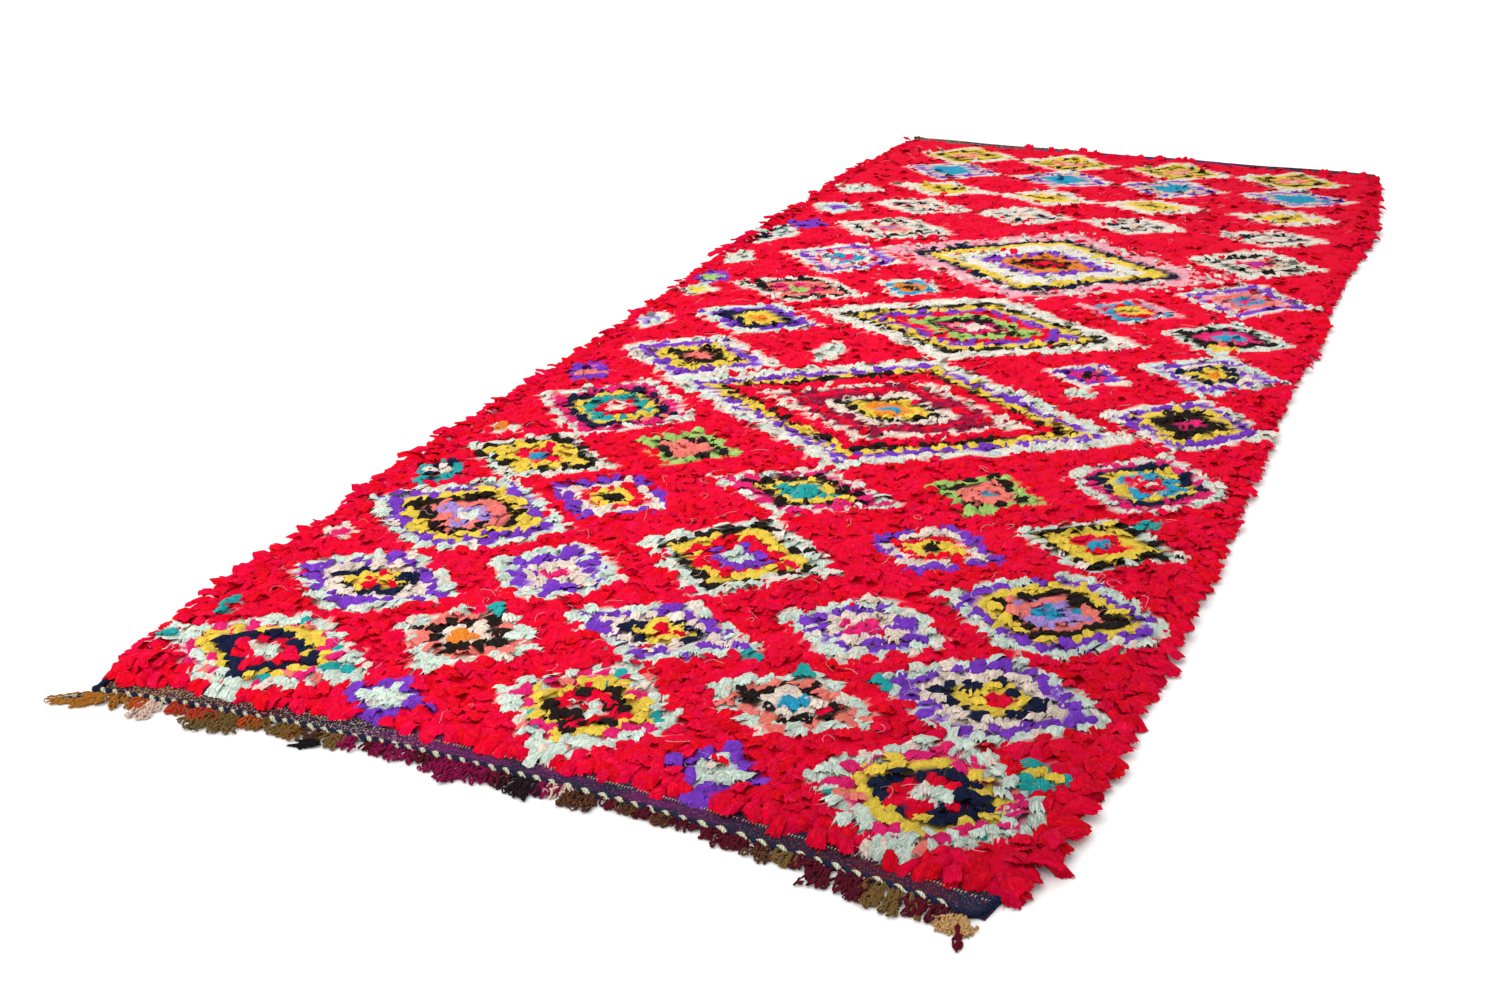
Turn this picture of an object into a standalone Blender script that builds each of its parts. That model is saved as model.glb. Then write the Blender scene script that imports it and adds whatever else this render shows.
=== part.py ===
"""Boucherouite rug, lying flat on a floor: a long wool ground with a deep pile of torn rag strips.

Plan coordinates are metres from the near left corner: x to the right, y towards the far end, z up.
An across share runs from 0 at the left side to 1 at the right, and an along share from the near end to the far.
"""

import math

import bmesh
import bpy
import numpy as np
from mathutils import Vector, noise

MM = 0.001
GAP = 0.3 * MM
SEED = 11
GRID_EDGE = 0.499

# Sides of the woven ground: straight ends of this width, and sides that bow outwards between them
END_WIDTH = 1.192
LEFT_BOW = 0.022
RIGHT_BOW = 0.048
BOW_SHARPNESS = 8
BOW_FROM = -0.040
BOW_TO = 3.185

# Lines across the rug: y at the left side, y at the right side, and how far the middle is set towards the far end
NEAR_RIM = {"left": -0.012, "right": -0.038, "bow": 0.043}
NEAR_PILE = {"left": 0.022, "right": 0.003, "bow": 0.047}
FAR_PILE = {"left": 3.122, "right": 3.108, "bow": -0.004}
FAR_RIM = {"left": 3.180, "right": 3.165, "bow": -0.005}

GROUND_THICK = 3.0 * MM
OUTLINE_STEPS = 28

# Twined border along the near rim, one raised turn for each pair of wraps
BORDER_WIDTH = 11 * MM
BORDER_EDGE_HIGH = 3.0 * MM
BORDER_CROWN_HIGH = 6.6 * MM
BORDER_TURN_RISE = 1.1 * MM
BORDER_TURNS = 96

# Pile: a lumpy slab of knotted rag strips
PILE_ROWS = 80
PILE_COLUMNS = 22
PILE_FOOT = GROUND_THICK + GAP
PILE_HIGH = 20 * MM
PILE_ROW_STEP = 2.8 * MM
PILE_LUMP = 6.5 * MM
PILE_LUMP_PITCH = 0.085
PILE_SHOULDER_DROP = 4.0 * MM
PILE_SHOULDER_SHARE = 0.05
PILE_OVERHANG = 1.0 * MM
ROW_WANDER = 7 * MM

# Locks on the pile's rim: the share of the reach, the share of the root's width, and the height of the underside and top
SIDE_LOCK = (
    {"out": 0.50, "wide": 0.74, "low": 2.2 * MM, "high": 13.0 * MM},
    {"out": 1.00, "wide": 0.34, "low": 0.7 * MM, "high": 5.5 * MM},
)
NEAR_LOCK = ({"out": 1.00, "wide": 0.62, "low": PILE_FOOT + 0.5 * MM, "high": 10.0 * MM},)
SIDE_LOCK_REACH = (13 * MM, 25 * MM)
NEAR_LOCK_REACH = (5 * MM, 12 * MM)
SIDE_LOCK_LEAN = 0.22

# Fringe of loose wool ends: a narrow backing strip, and how far its locks reach at each across share
FRINGE_LOCKS = 96
FRINGE_FROM = 0.024
FRINGE_TO = 0.972
FRINGE_BACKING = 6 * MM
FRINGE_ROOT_HIGH = 4.2 * MM
FRINGE_SPREAD = (0.78, 1.04)
FRINGE_LEAN = 0.16
FRINGE_LEAN_PITCH = 0.07
FRINGE_REACH = (
    {"share": 0.00, "reach": 34 * MM},
    {"share": 0.07, "reach": 32 * MM},
    {"share": 0.11, "reach": 50 * MM},
    {"share": 0.14, "reach": 31 * MM},
    {"share": 0.19, "reach": 42 * MM},
    {"share": 0.25, "reach": 26 * MM},
    {"share": 0.29, "reach": 37 * MM},
    {"share": 0.32, "reach": 24 * MM},
    {"share": 0.39, "reach": 26 * MM},
    {"share": 0.44, "reach": 41 * MM},
    {"share": 0.47, "reach": 27 * MM},
    {"share": 0.54, "reach": 37 * MM},
    {"share": 0.56, "reach": 22 * MM},
    {"share": 0.59, "reach": 28 * MM},
    {"share": 0.63, "reach": 15 * MM},
    {"share": 0.71, "reach": 13 * MM},
    {"share": 0.76, "reach": 24 * MM},
    {"share": 0.82, "reach": 25 * MM},
    {"share": 0.85, "reach": 38 * MM},
    {"share": 0.89, "reach": 44 * MM},
    {"share": 1.00, "reach": 38 * MM},
)
FLOOR_LOCK = (
    {"out": 0.45, "wide": 0.78, "low": 0.0, "high": 7.0 * MM},
    {"out": 1.00, "wide": 0.36, "low": 0.0, "high": 3.0 * MM},
)

# Tassels at the corners: where each hangs, its head and its strands
TASSEL_COLUMNS = 4
TASSEL_ROWS = 2
TASSEL_DOME = 6 * MM
TASSELS = (
    {"name": "tassel_near_left", "line": NEAR_RIM, "outward": -1, "from": 0.001, "to": 0.020,
     "head": 15 * MM, "reach": 40 * MM, "lean": -0.75, "shade": (0.30, 0.17, 0.05)},
    {"name": "tassel_near_right", "line": NEAR_RIM, "outward": -1, "from": 0.976, "to": 0.995,
     "head": 14 * MM, "reach": 32 * MM, "lean": 0.22, "shade": (0.50, 0.33, 0.15)},
    {"name": "tail_far_left", "line": FAR_RIM, "outward": 1, "from": 0.001, "to": 0.012,
     "head": 8 * MM, "reach": 34 * MM, "lean": -0.35, "shade": (0.10, 0.08, 0.05)},
)
TASSEL_SPREAD = 0.16


def blend(low, high, share):
    return low + (high - low) * share


def line_y(line, share):
    """y of a line across the rug at an across share."""
    return blend(line["left"], line["right"], share) + 4 * line["bow"] * share * (1 - share)


def side_bow(y):
    """Share of the sides' full bow at this y, none at the ends and nearly all of it between."""
    along = (2 * y - BOW_FROM - BOW_TO) / (BOW_TO - BOW_FROM)
    return 1 - min(abs(along), 1) ** BOW_SHARPNESS


def side_x(share, y):
    """x at an across share, between the two bowed sides."""
    bow = side_bow(y)
    return blend(-LEFT_BOW * bow, END_WIDTH + RIGHT_BOW * bow, share)


def clear_scene():
    for thing in list(bpy.data.objects):
        bpy.data.objects.remove(thing, do_unlink=True)


def finish_material(name, colour, roughness):
    material = bpy.data.materials.new(name)
    material.use_nodes = True
    shader = material.node_tree.nodes["Principled BSDF"]
    shader.inputs["Base Color"].default_value = (*colour, 1)
    shader.inputs["Roughness"].default_value = roughness
    shader.inputs["Metallic"].default_value = 0
    return material


def add_part(collection, name, data, material):
    part = bpy.data.objects.new(name, data)
    data.materials.append(material)
    collection.objects.link(part)
    return part


def tie_underside(shape, low_corners, columns, rows):
    """Splits the underside into strips that cross the slab's shorter way."""
    across, along, strips = (0, 1, rows) if rows > columns else (1, 0, columns)
    ends = {}
    for corner in low_corners:
        if abs(corner.co[across]) > GRID_EDGE > abs(corner.co[along]):
            ends.setdefault(round(corner.co[along] * strips * 2), []).append(corner)
    for pair in ends.values():
        bmesh.ops.connect_verts(shape, verts=pair)


def slab(columns, rows, top, foot):
    """A closed slab: its top is a grid laid by top(u, w), and its walls run down to a flat underside at foot.
    Returns the slab, and its walls on the sides where w is 0, w is 1, u is 0 and u is 1."""
    shape = bmesh.new()
    bmesh.ops.create_grid(shape, x_segments=columns, y_segments=rows, size=0.5)
    rim = [edge for edge in shape.edges if edge.is_boundary]
    made = bmesh.ops.extrude_edge_only(shape, edges=rim)["geom"]
    walls = [item for item in made if isinstance(item, bmesh.types.BMFace)]
    low_corners = {item for item in made if isinstance(item, bmesh.types.BMVert)}
    low_edges = [item for item in made if isinstance(item, bmesh.types.BMEdge) and item.is_boundary]
    bmesh.ops.contextual_create(shape, geom=low_edges)
    tie_underside(shape, low_corners, columns, rows)
    centres = {wall: wall.calc_center_median() for wall in walls}
    sides = {
        "near": [wall for wall in walls if centres[wall].y < -GRID_EDGE],
        "far": [wall for wall in walls if centres[wall].y > GRID_EDGE],
        "left": [wall for wall in walls if centres[wall].x < -GRID_EDGE],
        "right": [wall for wall in walls if centres[wall].x > GRID_EDGE],
    }
    for corner in shape.verts:
        x, y, z = top(corner.co.x + 0.5, corner.co.y + 0.5)
        corner.co = (x, y, foot if corner in low_corners else z)
    bmesh.ops.recalc_face_normals(shape, faces=shape.faces)
    shape.normal_update()
    return shape, sides


def grow_lock(shape, root, reach, lean, steps):
    """Draws one wall face out into a tapered four-sided lock, turned from square by lean, in radians."""
    outward = Vector((root.normal.x, root.normal.y, 0)).normalized()
    sideways = Vector((-outward.y, outward.x, 0))
    heading = outward * math.cos(lean) + sideways * math.sin(lean)
    start = root.calc_center_median()
    offsets = [(corner.co - start).dot(sideways) for corner in root.verts]
    half_width = (max(offsets) - min(offsets)) / 2
    tip = root
    for step in steps:
        middle = tip.calc_center_median()
        tip = bmesh.ops.extrude_discrete_faces(shape, faces=[tip])["faces"][0]
        for corner in tip.verts:
            hand = math.copysign(1, (corner.co - middle).dot(sideways))
            place = start + heading * reach * step["out"] + sideways * hand * half_width * step["wide"]
            height = step["high"] if corner.co.z > middle.z else step["low"]
            corner.co = (place.x, place.y, height)


def mesh_of(shape, name):
    bmesh.ops.recalc_face_normals(shape, faces=shape.faces)
    mesh = bpy.data.meshes.new(name)
    shape.to_mesh(mesh)
    shape.free()
    return mesh


def ground_weave(collection):
    """The flat-woven wool ground, whose two ends show past the pile."""
    shares = np.linspace(0, 1, OUTLINE_STEPS)
    near = [(share, line_y(NEAR_RIM, share) + BORDER_WIDTH) for share in shares]
    far = [(share, line_y(FAR_RIM, share)) for share in shares]
    climb = [blend(near[-1][1], far[-1][1], share) for share in shares[1:-1]]
    descent = [blend(far[0][1], near[0][1], share) for share in shares[1:-1]]
    outline = near + [(1, y) for y in climb] + far[::-1] + [(0, y) for y in descent]
    curve = bpy.data.curves.new("ground_weave", "CURVE")
    curve.dimensions = "2D"
    curve.fill_mode = "BOTH"
    curve.extrude = GROUND_THICK / 2
    spline = curve.splines.new("POLY")
    spline.points.add(len(outline) - 1)
    for point, (share, y) in zip(spline.points, outline):
        point.co = (side_x(share, y), y, 0, 1)
    spline.use_cyclic_u = True
    ground = add_part(collection, "ground_weave", curve, finish_material("ground_wool", (0.07, 0.05, 0.08), 0.9))
    ground.location.z = GROUND_THICK / 2
    return ground


def twined_border(collection):
    """Two-colour twining worked over the warp ends along the near rim, a raised turn for each pair of wraps."""
    columns = 2 * BORDER_TURNS
    lift = (BORDER_EDGE_HIGH, BORDER_CROWN_HIGH, BORDER_EDGE_HIGH)

    def top(u, w):
        y = line_y(NEAR_RIM, u) + w * (BORDER_WIDTH - GAP)
        turn = math.cos(math.pi * round(u * columns)) * BORDER_TURN_RISE
        return side_x(u, y), y, lift[round(2 * w)] + turn

    shape, _ = slab(columns, 2, top, 0)
    colour = finish_material("twined_yarn", (0.03, 0.04, 0.09), 0.9)
    return add_part(collection, "twined_border_near", mesh_of(shape, "twined_border_near"), colour)


def pile_field(collection, draw):
    """The rag pile: rows of knots raise its top in steps, and locks of rag stand out along its rim."""
    side_rise = PILE_SHOULDER_SHARE * END_WIDTH

    def top(u, w):
        y = blend(line_y(NEAR_PILE, u), line_y(FAR_PILE, u), w)
        x = side_x(u, y) + (2 * u - 1) * PILE_OVERHANG
        inside = 0 < u < 1 and 0 < w < 1
        spot = Vector((x, y, 0)) / PILE_LUMP_PITCH
        y += ROW_WANDER * noise.noise(spot + Vector((0, 0, SEED))) * inside
        edge_share = min(u, 1 - u) * END_WIDTH / side_rise
        shoulder = PILE_SHOULDER_DROP * max(0, 1 - edge_share) ** 2
        step = PILE_ROW_STEP * math.cos(math.pi * round(w * PILE_ROWS)) * inside
        return x, y, PILE_HIGH + PILE_LUMP * noise.noise(spot) + step - shoulder

    shape, sides = slab(PILE_COLUMNS, PILE_ROWS, top, PILE_FOOT)
    for root in sides["left"] + sides["right"]:
        grow_lock(shape, root, draw.uniform(*SIDE_LOCK_REACH), draw.uniform(-1, 1) * SIDE_LOCK_LEAN, SIDE_LOCK)
    for root in sides["near"]:
        grow_lock(shape, root, draw.uniform(*NEAR_LOCK_REACH), 0, NEAR_LOCK)
    colour = finish_material("rag_pile", (0.80, 0.01, 0.03), 0.85)
    return add_part(collection, "pile_field", mesh_of(shape, "pile_field"), colour)


def rim_strip(line, outward, start, end, columns, rows, depth, dome):
    """A low strip lying along the outside of a rim line, GAP away from it."""

    def top(u, w):
        share = blend(start, end, u)
        out = w if outward > 0 else 1 - w
        y = line_y(line, share) + outward * (GAP + depth * out)
        return side_x(share, y), y, FRINGE_ROOT_HIGH + dome * math.sin(math.pi * u) * math.sin(math.pi * w)

    return slab(columns, rows, top, 0)


def fringe(collection, draw):
    """Loose wool ends along the near rim, lying on the floor in uneven clumps."""
    shape, sides = rim_strip(NEAR_RIM, -1, FRINGE_FROM, FRINGE_TO, FRINGE_LOCKS, 1, FRINGE_BACKING, 0)
    shares = [row["share"] for row in FRINGE_REACH]
    reaches = [row["reach"] for row in FRINGE_REACH]
    for root in sides["near"]:
        x = root.calc_center_median().x
        reach = np.interp(x / END_WIDTH, shares, reaches) * draw.uniform(*FRINGE_SPREAD)
        lean = FRINGE_LEAN * noise.noise(Vector((x / FRINGE_LEAN_PITCH, SEED, 0)))
        grow_lock(shape, root, reach, lean, FLOOR_LOCK)
    colour = finish_material("fringe_wool", (0.16, 0.03, 0.06), 0.95)
    return add_part(collection, "fringe_near", mesh_of(shape, "fringe_near"), colour)


def tassel(collection, row):
    """A knotted bunch of ends at a corner: a low head, with strands lying on the floor."""
    shape, sides = rim_strip(
        row["line"], row["outward"], row["from"], row["to"], TASSEL_COLUMNS, TASSEL_ROWS, row["head"], TASSEL_DOME
    )
    roots = sides["far"] if row["outward"] > 0 else sides["near"]
    roots = sorted(roots, key=lambda root: root.calc_center_median().x)
    middle = (len(roots) - 1) / 2
    for place, root in enumerate(roots):
        fan = TASSEL_SPREAD * (place - middle)
        lean = -row["outward"] * (row["lean"] + fan)
        grow_lock(shape, root, row["reach"], lean, FLOOR_LOCK)
    colour = finish_material(row["name"] + "_wool", row["shade"], 0.95)
    return add_part(collection, row["name"], mesh_of(shape, row["name"]), colour)


def centre_on_floor(parts):
    """Moves the rug so that the middle of its underside is the origin."""
    bpy.context.view_layer.update()
    corners = [part.matrix_world @ Vector(corner) for part in parts for corner in part.bound_box]
    low = Vector(min(corner[axis] for corner in corners) for axis in range(3))
    high = Vector(max(corner[axis] for corner in corners) for axis in range(3))
    middle = (low + high) / 2
    for part in parts:
        part.location -= Vector((middle.x, middle.y, low.z))


def main():
    clear_scene()
    collection = bpy.data.collections.new("boucherouite_rug")
    bpy.context.scene.collection.children.link(collection)
    draw = np.random.default_rng(SEED)
    parts = [
        ground_weave(collection),
        twined_border(collection),
        pile_field(collection, draw),
        fringe(collection, draw),
        *(tassel(collection, row) for row in TASSELS),
    ]
    centre_on_floor(parts)


main()
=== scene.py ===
"""Looks of the boucherouite rug: torn-rag pile, woven ground, twining, wool fringe and tassels, as an add-on.

Plan coordinates are metres from the near left corner of the ground: x to the right, y towards the far end.
An across share runs from 0 at the left side to 1 at the right, and an along share from the near end to the
far.
"""

import collections
import math

import bpy
import numpy as np
from bpy.props import FloatProperty, FloatVectorProperty, IntProperty, PointerProperty
from mathutils import Matrix, Vector, noise


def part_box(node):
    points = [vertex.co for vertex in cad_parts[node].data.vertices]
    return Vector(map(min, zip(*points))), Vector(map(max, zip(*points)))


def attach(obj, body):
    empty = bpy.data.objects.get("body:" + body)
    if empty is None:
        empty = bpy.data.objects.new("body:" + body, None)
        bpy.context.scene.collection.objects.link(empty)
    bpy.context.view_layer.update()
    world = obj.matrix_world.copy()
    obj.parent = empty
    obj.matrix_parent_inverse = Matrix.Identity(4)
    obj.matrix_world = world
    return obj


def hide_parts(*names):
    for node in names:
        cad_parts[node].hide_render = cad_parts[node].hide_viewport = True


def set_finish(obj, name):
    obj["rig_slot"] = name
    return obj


bl_info = {
    "name": "Boucherouite Rug",
    "version": (1, 0, 0),
    "blender": (4, 5, 0),
    "location": "3D View > Sidebar > Rug",
    "description": "Knots a boucherouite rug: rag pile, woven ground, twining, fringe and tassels",
    "category": "Add Mesh",
}

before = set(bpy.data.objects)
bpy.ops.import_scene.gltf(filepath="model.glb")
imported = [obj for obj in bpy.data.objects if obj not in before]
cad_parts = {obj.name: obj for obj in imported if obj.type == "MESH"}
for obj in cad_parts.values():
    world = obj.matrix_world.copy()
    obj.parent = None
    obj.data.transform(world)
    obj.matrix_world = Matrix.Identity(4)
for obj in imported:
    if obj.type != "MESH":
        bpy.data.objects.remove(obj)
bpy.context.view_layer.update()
GROUND_LOW, GROUND_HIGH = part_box("ground_weave")

MM = 0.001
BODY = "root"

# Plan of the ground, as it is woven: sides that bow outwards, and lines across the rug
END_WIDTH = 1.192
LEFT_BOW = 0.022
RIGHT_BOW = 0.048
BOW_SHARPNESS = 8
BOW_FROM = -0.040
BOW_TO = 3.185
NEAR_RIM = {"left": -0.012, "right": -0.038, "bow": 0.043}
NEAR_PILE = {"left": 0.022, "right": 0.003, "bow": 0.047}
FAR_PILE = {"left": 3.122, "right": 3.108, "bow": -0.004}
FAR_RIM = {"left": 3.180, "right": 3.165, "bow": -0.005}
BORDER_WIDTH = 11 * MM
GROUND_TOP = 3.0 * MM
GROUND_UNDER = 0.9 * MM
PILE_LUMP = 6.5 * MM
PILE_LUMP_PITCH = 0.085

# From plan coordinates to the frame's: the ground's left side and far left corner are the same points in both
SHIFT = np.array([GROUND_LOW.x + LEFT_BOW, GROUND_HIGH.y - FAR_RIM["left"], GROUND_LOW.z])

# The chart of the pile. Its places are where the tufts' tips show, which lean this far from their knots.
# Rings run from the outside in, and a small letter is a rag scattered over the red field
Motif = collections.namedtuple("Motif", "x y wide long rings blunt", defaults=(1.0,))
CHART_SCALE = 0.986
CHART_LEAN = (0.023, -0.022)
RAG_LETTERS = {
    "R": "red", "M": "mint", "C": "cream", "P": "purple", "Y": "yellow", "K": "black", "N": "navy",
    "H": "pink",
    "S": "salmon", "T": "teal", "B": "blue", "G": "green", "A": "maroon", "L": "lavender", "O": "orange",
    "E": "peach", "W": "white", "Z": "rose",
}
FIELD = "R"
SCATTERED_SHARE = 0.48
RINGS_MIXED = 0.28
CHART = (
    Motif(0.130, 0.170, 0.345, 0.238, "MHYNRM", 1.08),
    Motif(0.350, 0.129, 0.150, 0.135, "PM", 0.75),
    Motif(0.350, 0.129, 0.070, 0.065, "M"),
    Motif(0.360, 0.070, 0.034, 0.080, "P"),
    Motif(0.604, 0.200, 0.265, 0.240, "MHYKRM", 1.15),
    Motif(0.604, 0.085, 0.030, 0.080, "M"),
    Motif(0.814, 0.129, 0.150, 0.135, "PM", 0.75),
    Motif(0.814, 0.129, 0.075, 0.070, "M"),
    Motif(0.818, 0.070, 0.034, 0.080, "P"),
    Motif(1.060, 0.173, 0.295, 0.255, "MHYNRM", 1.2),
    Motif(1.040, 0.050, 0.030, 0.060, "M"),
    Motif(0.146, 0.052, 0.060, 0.080, "M"),
    Motif(1.171, 0.254, 0.070, 0.080, "TY"),
    Motif(-0.010, 0.275, 0.045, 0.035, "T"),
    Motif(0.008, 0.240, 0.035, 0.035, "T"),
    Motif(-0.023, 0.163, 0.045, 0.030, "T"),
    Motif(0.238, 0.165, 0.040, 0.025, "T"),
    Motif(0.359, 0.307, 0.215, 0.180, "MSKCO", 1.2),
    Motif(0.356, 0.388, 0.035, 0.035, "T"),
    Motif(0.350, 0.210, 0.060, 0.040, "M"),
    Motif(0.837, 0.303, 0.235, 0.165, "MSKCB", 1.2),
    Motif(0.820, 0.385, 0.045, 0.035, "T"),
    Motif(0.145, 0.401, 0.290, 0.200, "MPCNYR", 1.2),
    Motif(0.600, 0.414, 0.310, 0.185, "MPCNYR"),
    Motif(0.738, 0.400, 0.035, 0.035, "T"),
    Motif(1.064, 0.405, 0.310, 0.230, "MPCNYR", 1.2),
    Motif(0.930, 0.398, 0.040, 0.035, "T"),
    Motif(0.377, 0.520, 0.210, 0.195, "MPCH", 1.2),
    Motif(0.850, 0.521, 0.240, 0.190, "MPCH", 1.2),
    Motif(0.600, 0.664, 0.330, 0.285, "MKYRPM"),
    Motif(0.149, 0.646, 0.355, 0.275, "MPYKSLM", 1.2),
    Motif(1.078, 0.655, 0.330, 0.260, "MPYKSLB", 1.2),
    Motif(0.328, 0.785, 0.235, 0.190, "PCRYK"),
    Motif(0.859, 0.789, 0.220, 0.180, "PCRYK"),
    Motif(0.015, 0.776, 0.085, 0.125, "TNC"),
    Motif(0.000, 0.520, 0.080, 0.070, "CH"),
    Motif(0.136, 0.890, 0.290, 0.215, "MKYYRB"),
    Motif(0.600, 0.913, 0.340, 0.200, "MHKYTT"),
    Motif(1.082, 0.890, 0.270, 0.200, "MKYYRB"),
    Motif(1.122, 0.975, 0.050, 0.050, "T"),
    Motif(0.354, 1.010, 0.190, 0.155, "GKSS"),
    Motif(0.872, 1.002, 0.190, 0.165, "GKSSB"),
    Motif(0.154, 1.131, 0.310, 0.290, "MHNYTRC", 1.1),
    Motif(1.096, 1.127, 0.260, 0.250, "MHNYBRC", 1.2),
    Motif(0.015, 0.975, 0.080, 0.060, "MO"),
    Motif(0.020, 1.274, 0.110, 0.110, "PS"),
    Motif(0.609, 1.290, 0.880, 0.548, "MWPYKRRCARACKYOB"),
    Motif(0.176, 1.421, 0.340, 0.260, "WPYKS"),
    Motif(1.104, 1.399, 0.310, 0.270, "WPYKKH"),
    Motif(0.399, 1.529, 0.070, 0.130, "M"),
    Motif(0.890, 1.569, 0.175, 0.140, "CPHK"),
    Motif(0.895, 1.475, 0.070, 0.060, "M"),
    Motif(-0.003, 1.582, 0.090, 0.130, "ML"),
    Motif(0.194, 1.663, 0.295, 0.200, "MPNYO"),
    Motif(1.096, 1.650, 0.270, 0.225, "MPCNYO"),
    Motif(0.610, 1.600, 0.060, 0.090, "M"),
    Motif(0.610, 1.757, 0.700, 0.400, "WWKYPRGKHC"),
    Motif(0.198, 1.869, 0.320, 0.190, "WKSHG"),
    Motif(1.082, 1.855, 0.270, 0.210, "MKHB"),
    Motif(1.082, 1.800, 0.070, 0.050, "Y"),
    Motif(0.413, 1.954, 0.150, 0.155, "MBOK"),
    Motif(0.877, 1.954, 0.220, 0.150, "ZBRYK"),
    Motif(0.207, 2.105, 0.285, 0.250, "WPZWBH"),
    Motif(1.078, 2.096, 0.300, 0.240, "WPZSBH"),
    Motif(0.640, 2.204, 0.860, 0.560, "zc"),
    Motif(0.627, 2.204, 0.767, 0.505, "ZZNYWWPOKR"),
    Motif(0.225, 2.355, 0.310, 0.200, "WWKWEHB"),
    Motif(1.051, 2.351, 0.310, 0.230, "WWKWEHP"),
    Motif(-0.012, 2.230, 0.120, 0.180, "MNM"),
    Motif(0.033, 2.324, 0.100, 0.090, "P"),
    Motif(-0.020, 2.034, 0.100, 0.120, "M"),
    Motif(-0.012, 1.882, 0.090, 0.120, "PG"),
    Motif(-0.003, 1.793, 0.100, 0.100, "MY"),
    Motif(0.024, 2.664, 0.150, 0.100, "M"),
    Motif(0.042, 2.486, 0.140, 0.130, "MP"),
)

# Four rows of lozenges cross the far end, each above the last
FAR_ROWS = (
    {"y": 2.555, "long": 0.155, "rings": "WCNWE", "across": (0.230, 0.480, 0.743, 1.050), "wide": 0.250},
    {"y": 2.727, "long": 0.145, "rings": "WCYYK", "across": (0.225, 0.488, 0.743, 1.050), "wide": 0.265},
    {"y": 2.905, "long": 0.185, "rings": "WPEBBB", "across": (0.190, 0.484, 0.752, 1.046), "wide": 0.275},
    {"y": 3.066, "long": 0.190, "rings": "WYKYSE", "across": (0.180, 0.453, 0.734, 1.010), "wide": 0.275},
)

# Loose wool of the fringe, from left to right: the across share where each stretch ends, how far it reaches,
# and the wools of its clumps
Stretch = collections.namedtuple("Stretch", "to reach wools")
FRINGE = (
    Stretch(0.046, 31 * MM, ("gold", "brown")),
    Stretch(0.074, 31 * MM, ("rust", "gold")),
    Stretch(0.098, 48 * MM, ("boucle", "boucle")),
    Stretch(0.146, 30 * MM, ("scarlet", "scarlet")),
    Stretch(0.188, 52 * MM, ("olive", "olive")),
    Stretch(0.206, 26 * MM, ("rust", "olive")),
    Stretch(0.264, 28 * MM, ("brown", "olive")),
    Stretch(0.288, 29 * MM, ("dusk",)),
    Stretch(0.310, 27 * MM, ("olive",)),
    Stretch(0.415, 27 * MM, ("magenta", "maroon", "magenta")),
    Stretch(0.465, 44 * MM, ("magenta",)),
    Stretch(0.500, 29 * MM, ("magenta", "maroon")),
    Stretch(0.535, 38 * MM, ("black",)),
    Stretch(0.565, 24 * MM, ("magenta", "boucle")),
    Stretch(0.605, 32 * MM, ("dusk",)),
    Stretch(0.680, 18 * MM, ("maroon", "dusk")),
    Stretch(0.735, 16 * MM, ("maroon",)),
    Stretch(0.830, 27 * MM, ("maroon", "maroon", "dusk", "olive")),
    Stretch(0.888, 41 * MM, ("maroon",)),
    Stretch(0.930, 46 * MM, ("olive",)),
    Stretch(0.968, 36 * MM, ("maroon", "maroon")),
)
FRINGE_FROM = 0.020


def from_screen(red, green, blue):
    """Linear colour of a screen colour, each channel from 0 to 255."""
    return tuple(((channel / 255 + 0.055) / 1.055) ** 2.4 for channel in (red, green, blue))


def dye(name, red, green, blue):
    return FloatVectorProperty(
        name=name,
        description=f"Colour of the {name.lower()}",
        subtype="COLOR",
        size=3,
        min=0,
        max=1,
        default=from_screen(red, green, blue),
    )


def length(name, description, default, least):
    return FloatProperty(name=name, description=description, default=default, unit="LENGTH", min=least)


class RUG_PG_rags(bpy.types.PropertyGroup):
    """Colours of the torn rags."""

    red: dye("Red rag", 240, 0, 50)
    mint: dye("Mint rag", 216, 232, 218)
    white: dye("White rag", 238, 232, 218)
    cream: dye("Cream rag", 246, 226, 210)
    rose: dye("Rose rag", 244, 172, 184)
    purple: dye("Purple rag", 126, 60, 196)
    yellow: dye("Yellow rag", 242, 208, 76)
    black: dye("Black rag", 36, 28, 26)
    navy: dye("Navy rag", 24, 32, 62)
    pink: dye("Hot pink rag", 236, 36, 116)
    salmon: dye("Salmon rag", 248, 128, 116)
    teal: dye("Teal rag", 40, 168, 168)
    blue: dye("Blue rag", 44, 158, 198)
    green: dye("Green rag", 170, 208, 112)
    maroon: dye("Maroon rag", 150, 20, 62)
    lavender: dye("Lavender rag", 176, 146, 220)
    orange: dye("Orange rag", 242, 140, 46)
    peach: dye("Peach rag", 240, 200, 176)
    thread: dye("Stray thread", 255, 214, 208)


class RUG_PG_wools(bpy.types.PropertyGroup):
    """Colours of the wool in the ground, the twining, the fringe and the tassels."""

    gold: dye("Gold wool", 196, 126, 46)
    brown: dye("Brown wool", 138, 92, 44)
    rust: dye("Rust wool", 222, 82, 34)
    boucle: dye("Pink boucle wool", 244, 206, 196)
    scarlet: dye("Scarlet wool", 216, 38, 38)
    olive: dye("Olive wool", 118, 98, 56)
    dusk: dye("Dusk wool", 62, 30, 42)
    black: dye("Black wool", 30, 26, 28)
    magenta: dye("Magenta wool", 172, 14, 88)
    maroon: dye("Maroon wool", 108, 16, 36)
    tan: dye("Tan wool", 214, 168, 110)
    navy: dye("Navy wool", 30, 42, 76)
    plum: dye("Plum wool", 138, 34, 122)
    mint: dye("Mint twining", 190, 204, 178)
    warp: dye("Cream warp", 226, 208, 172)


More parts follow.
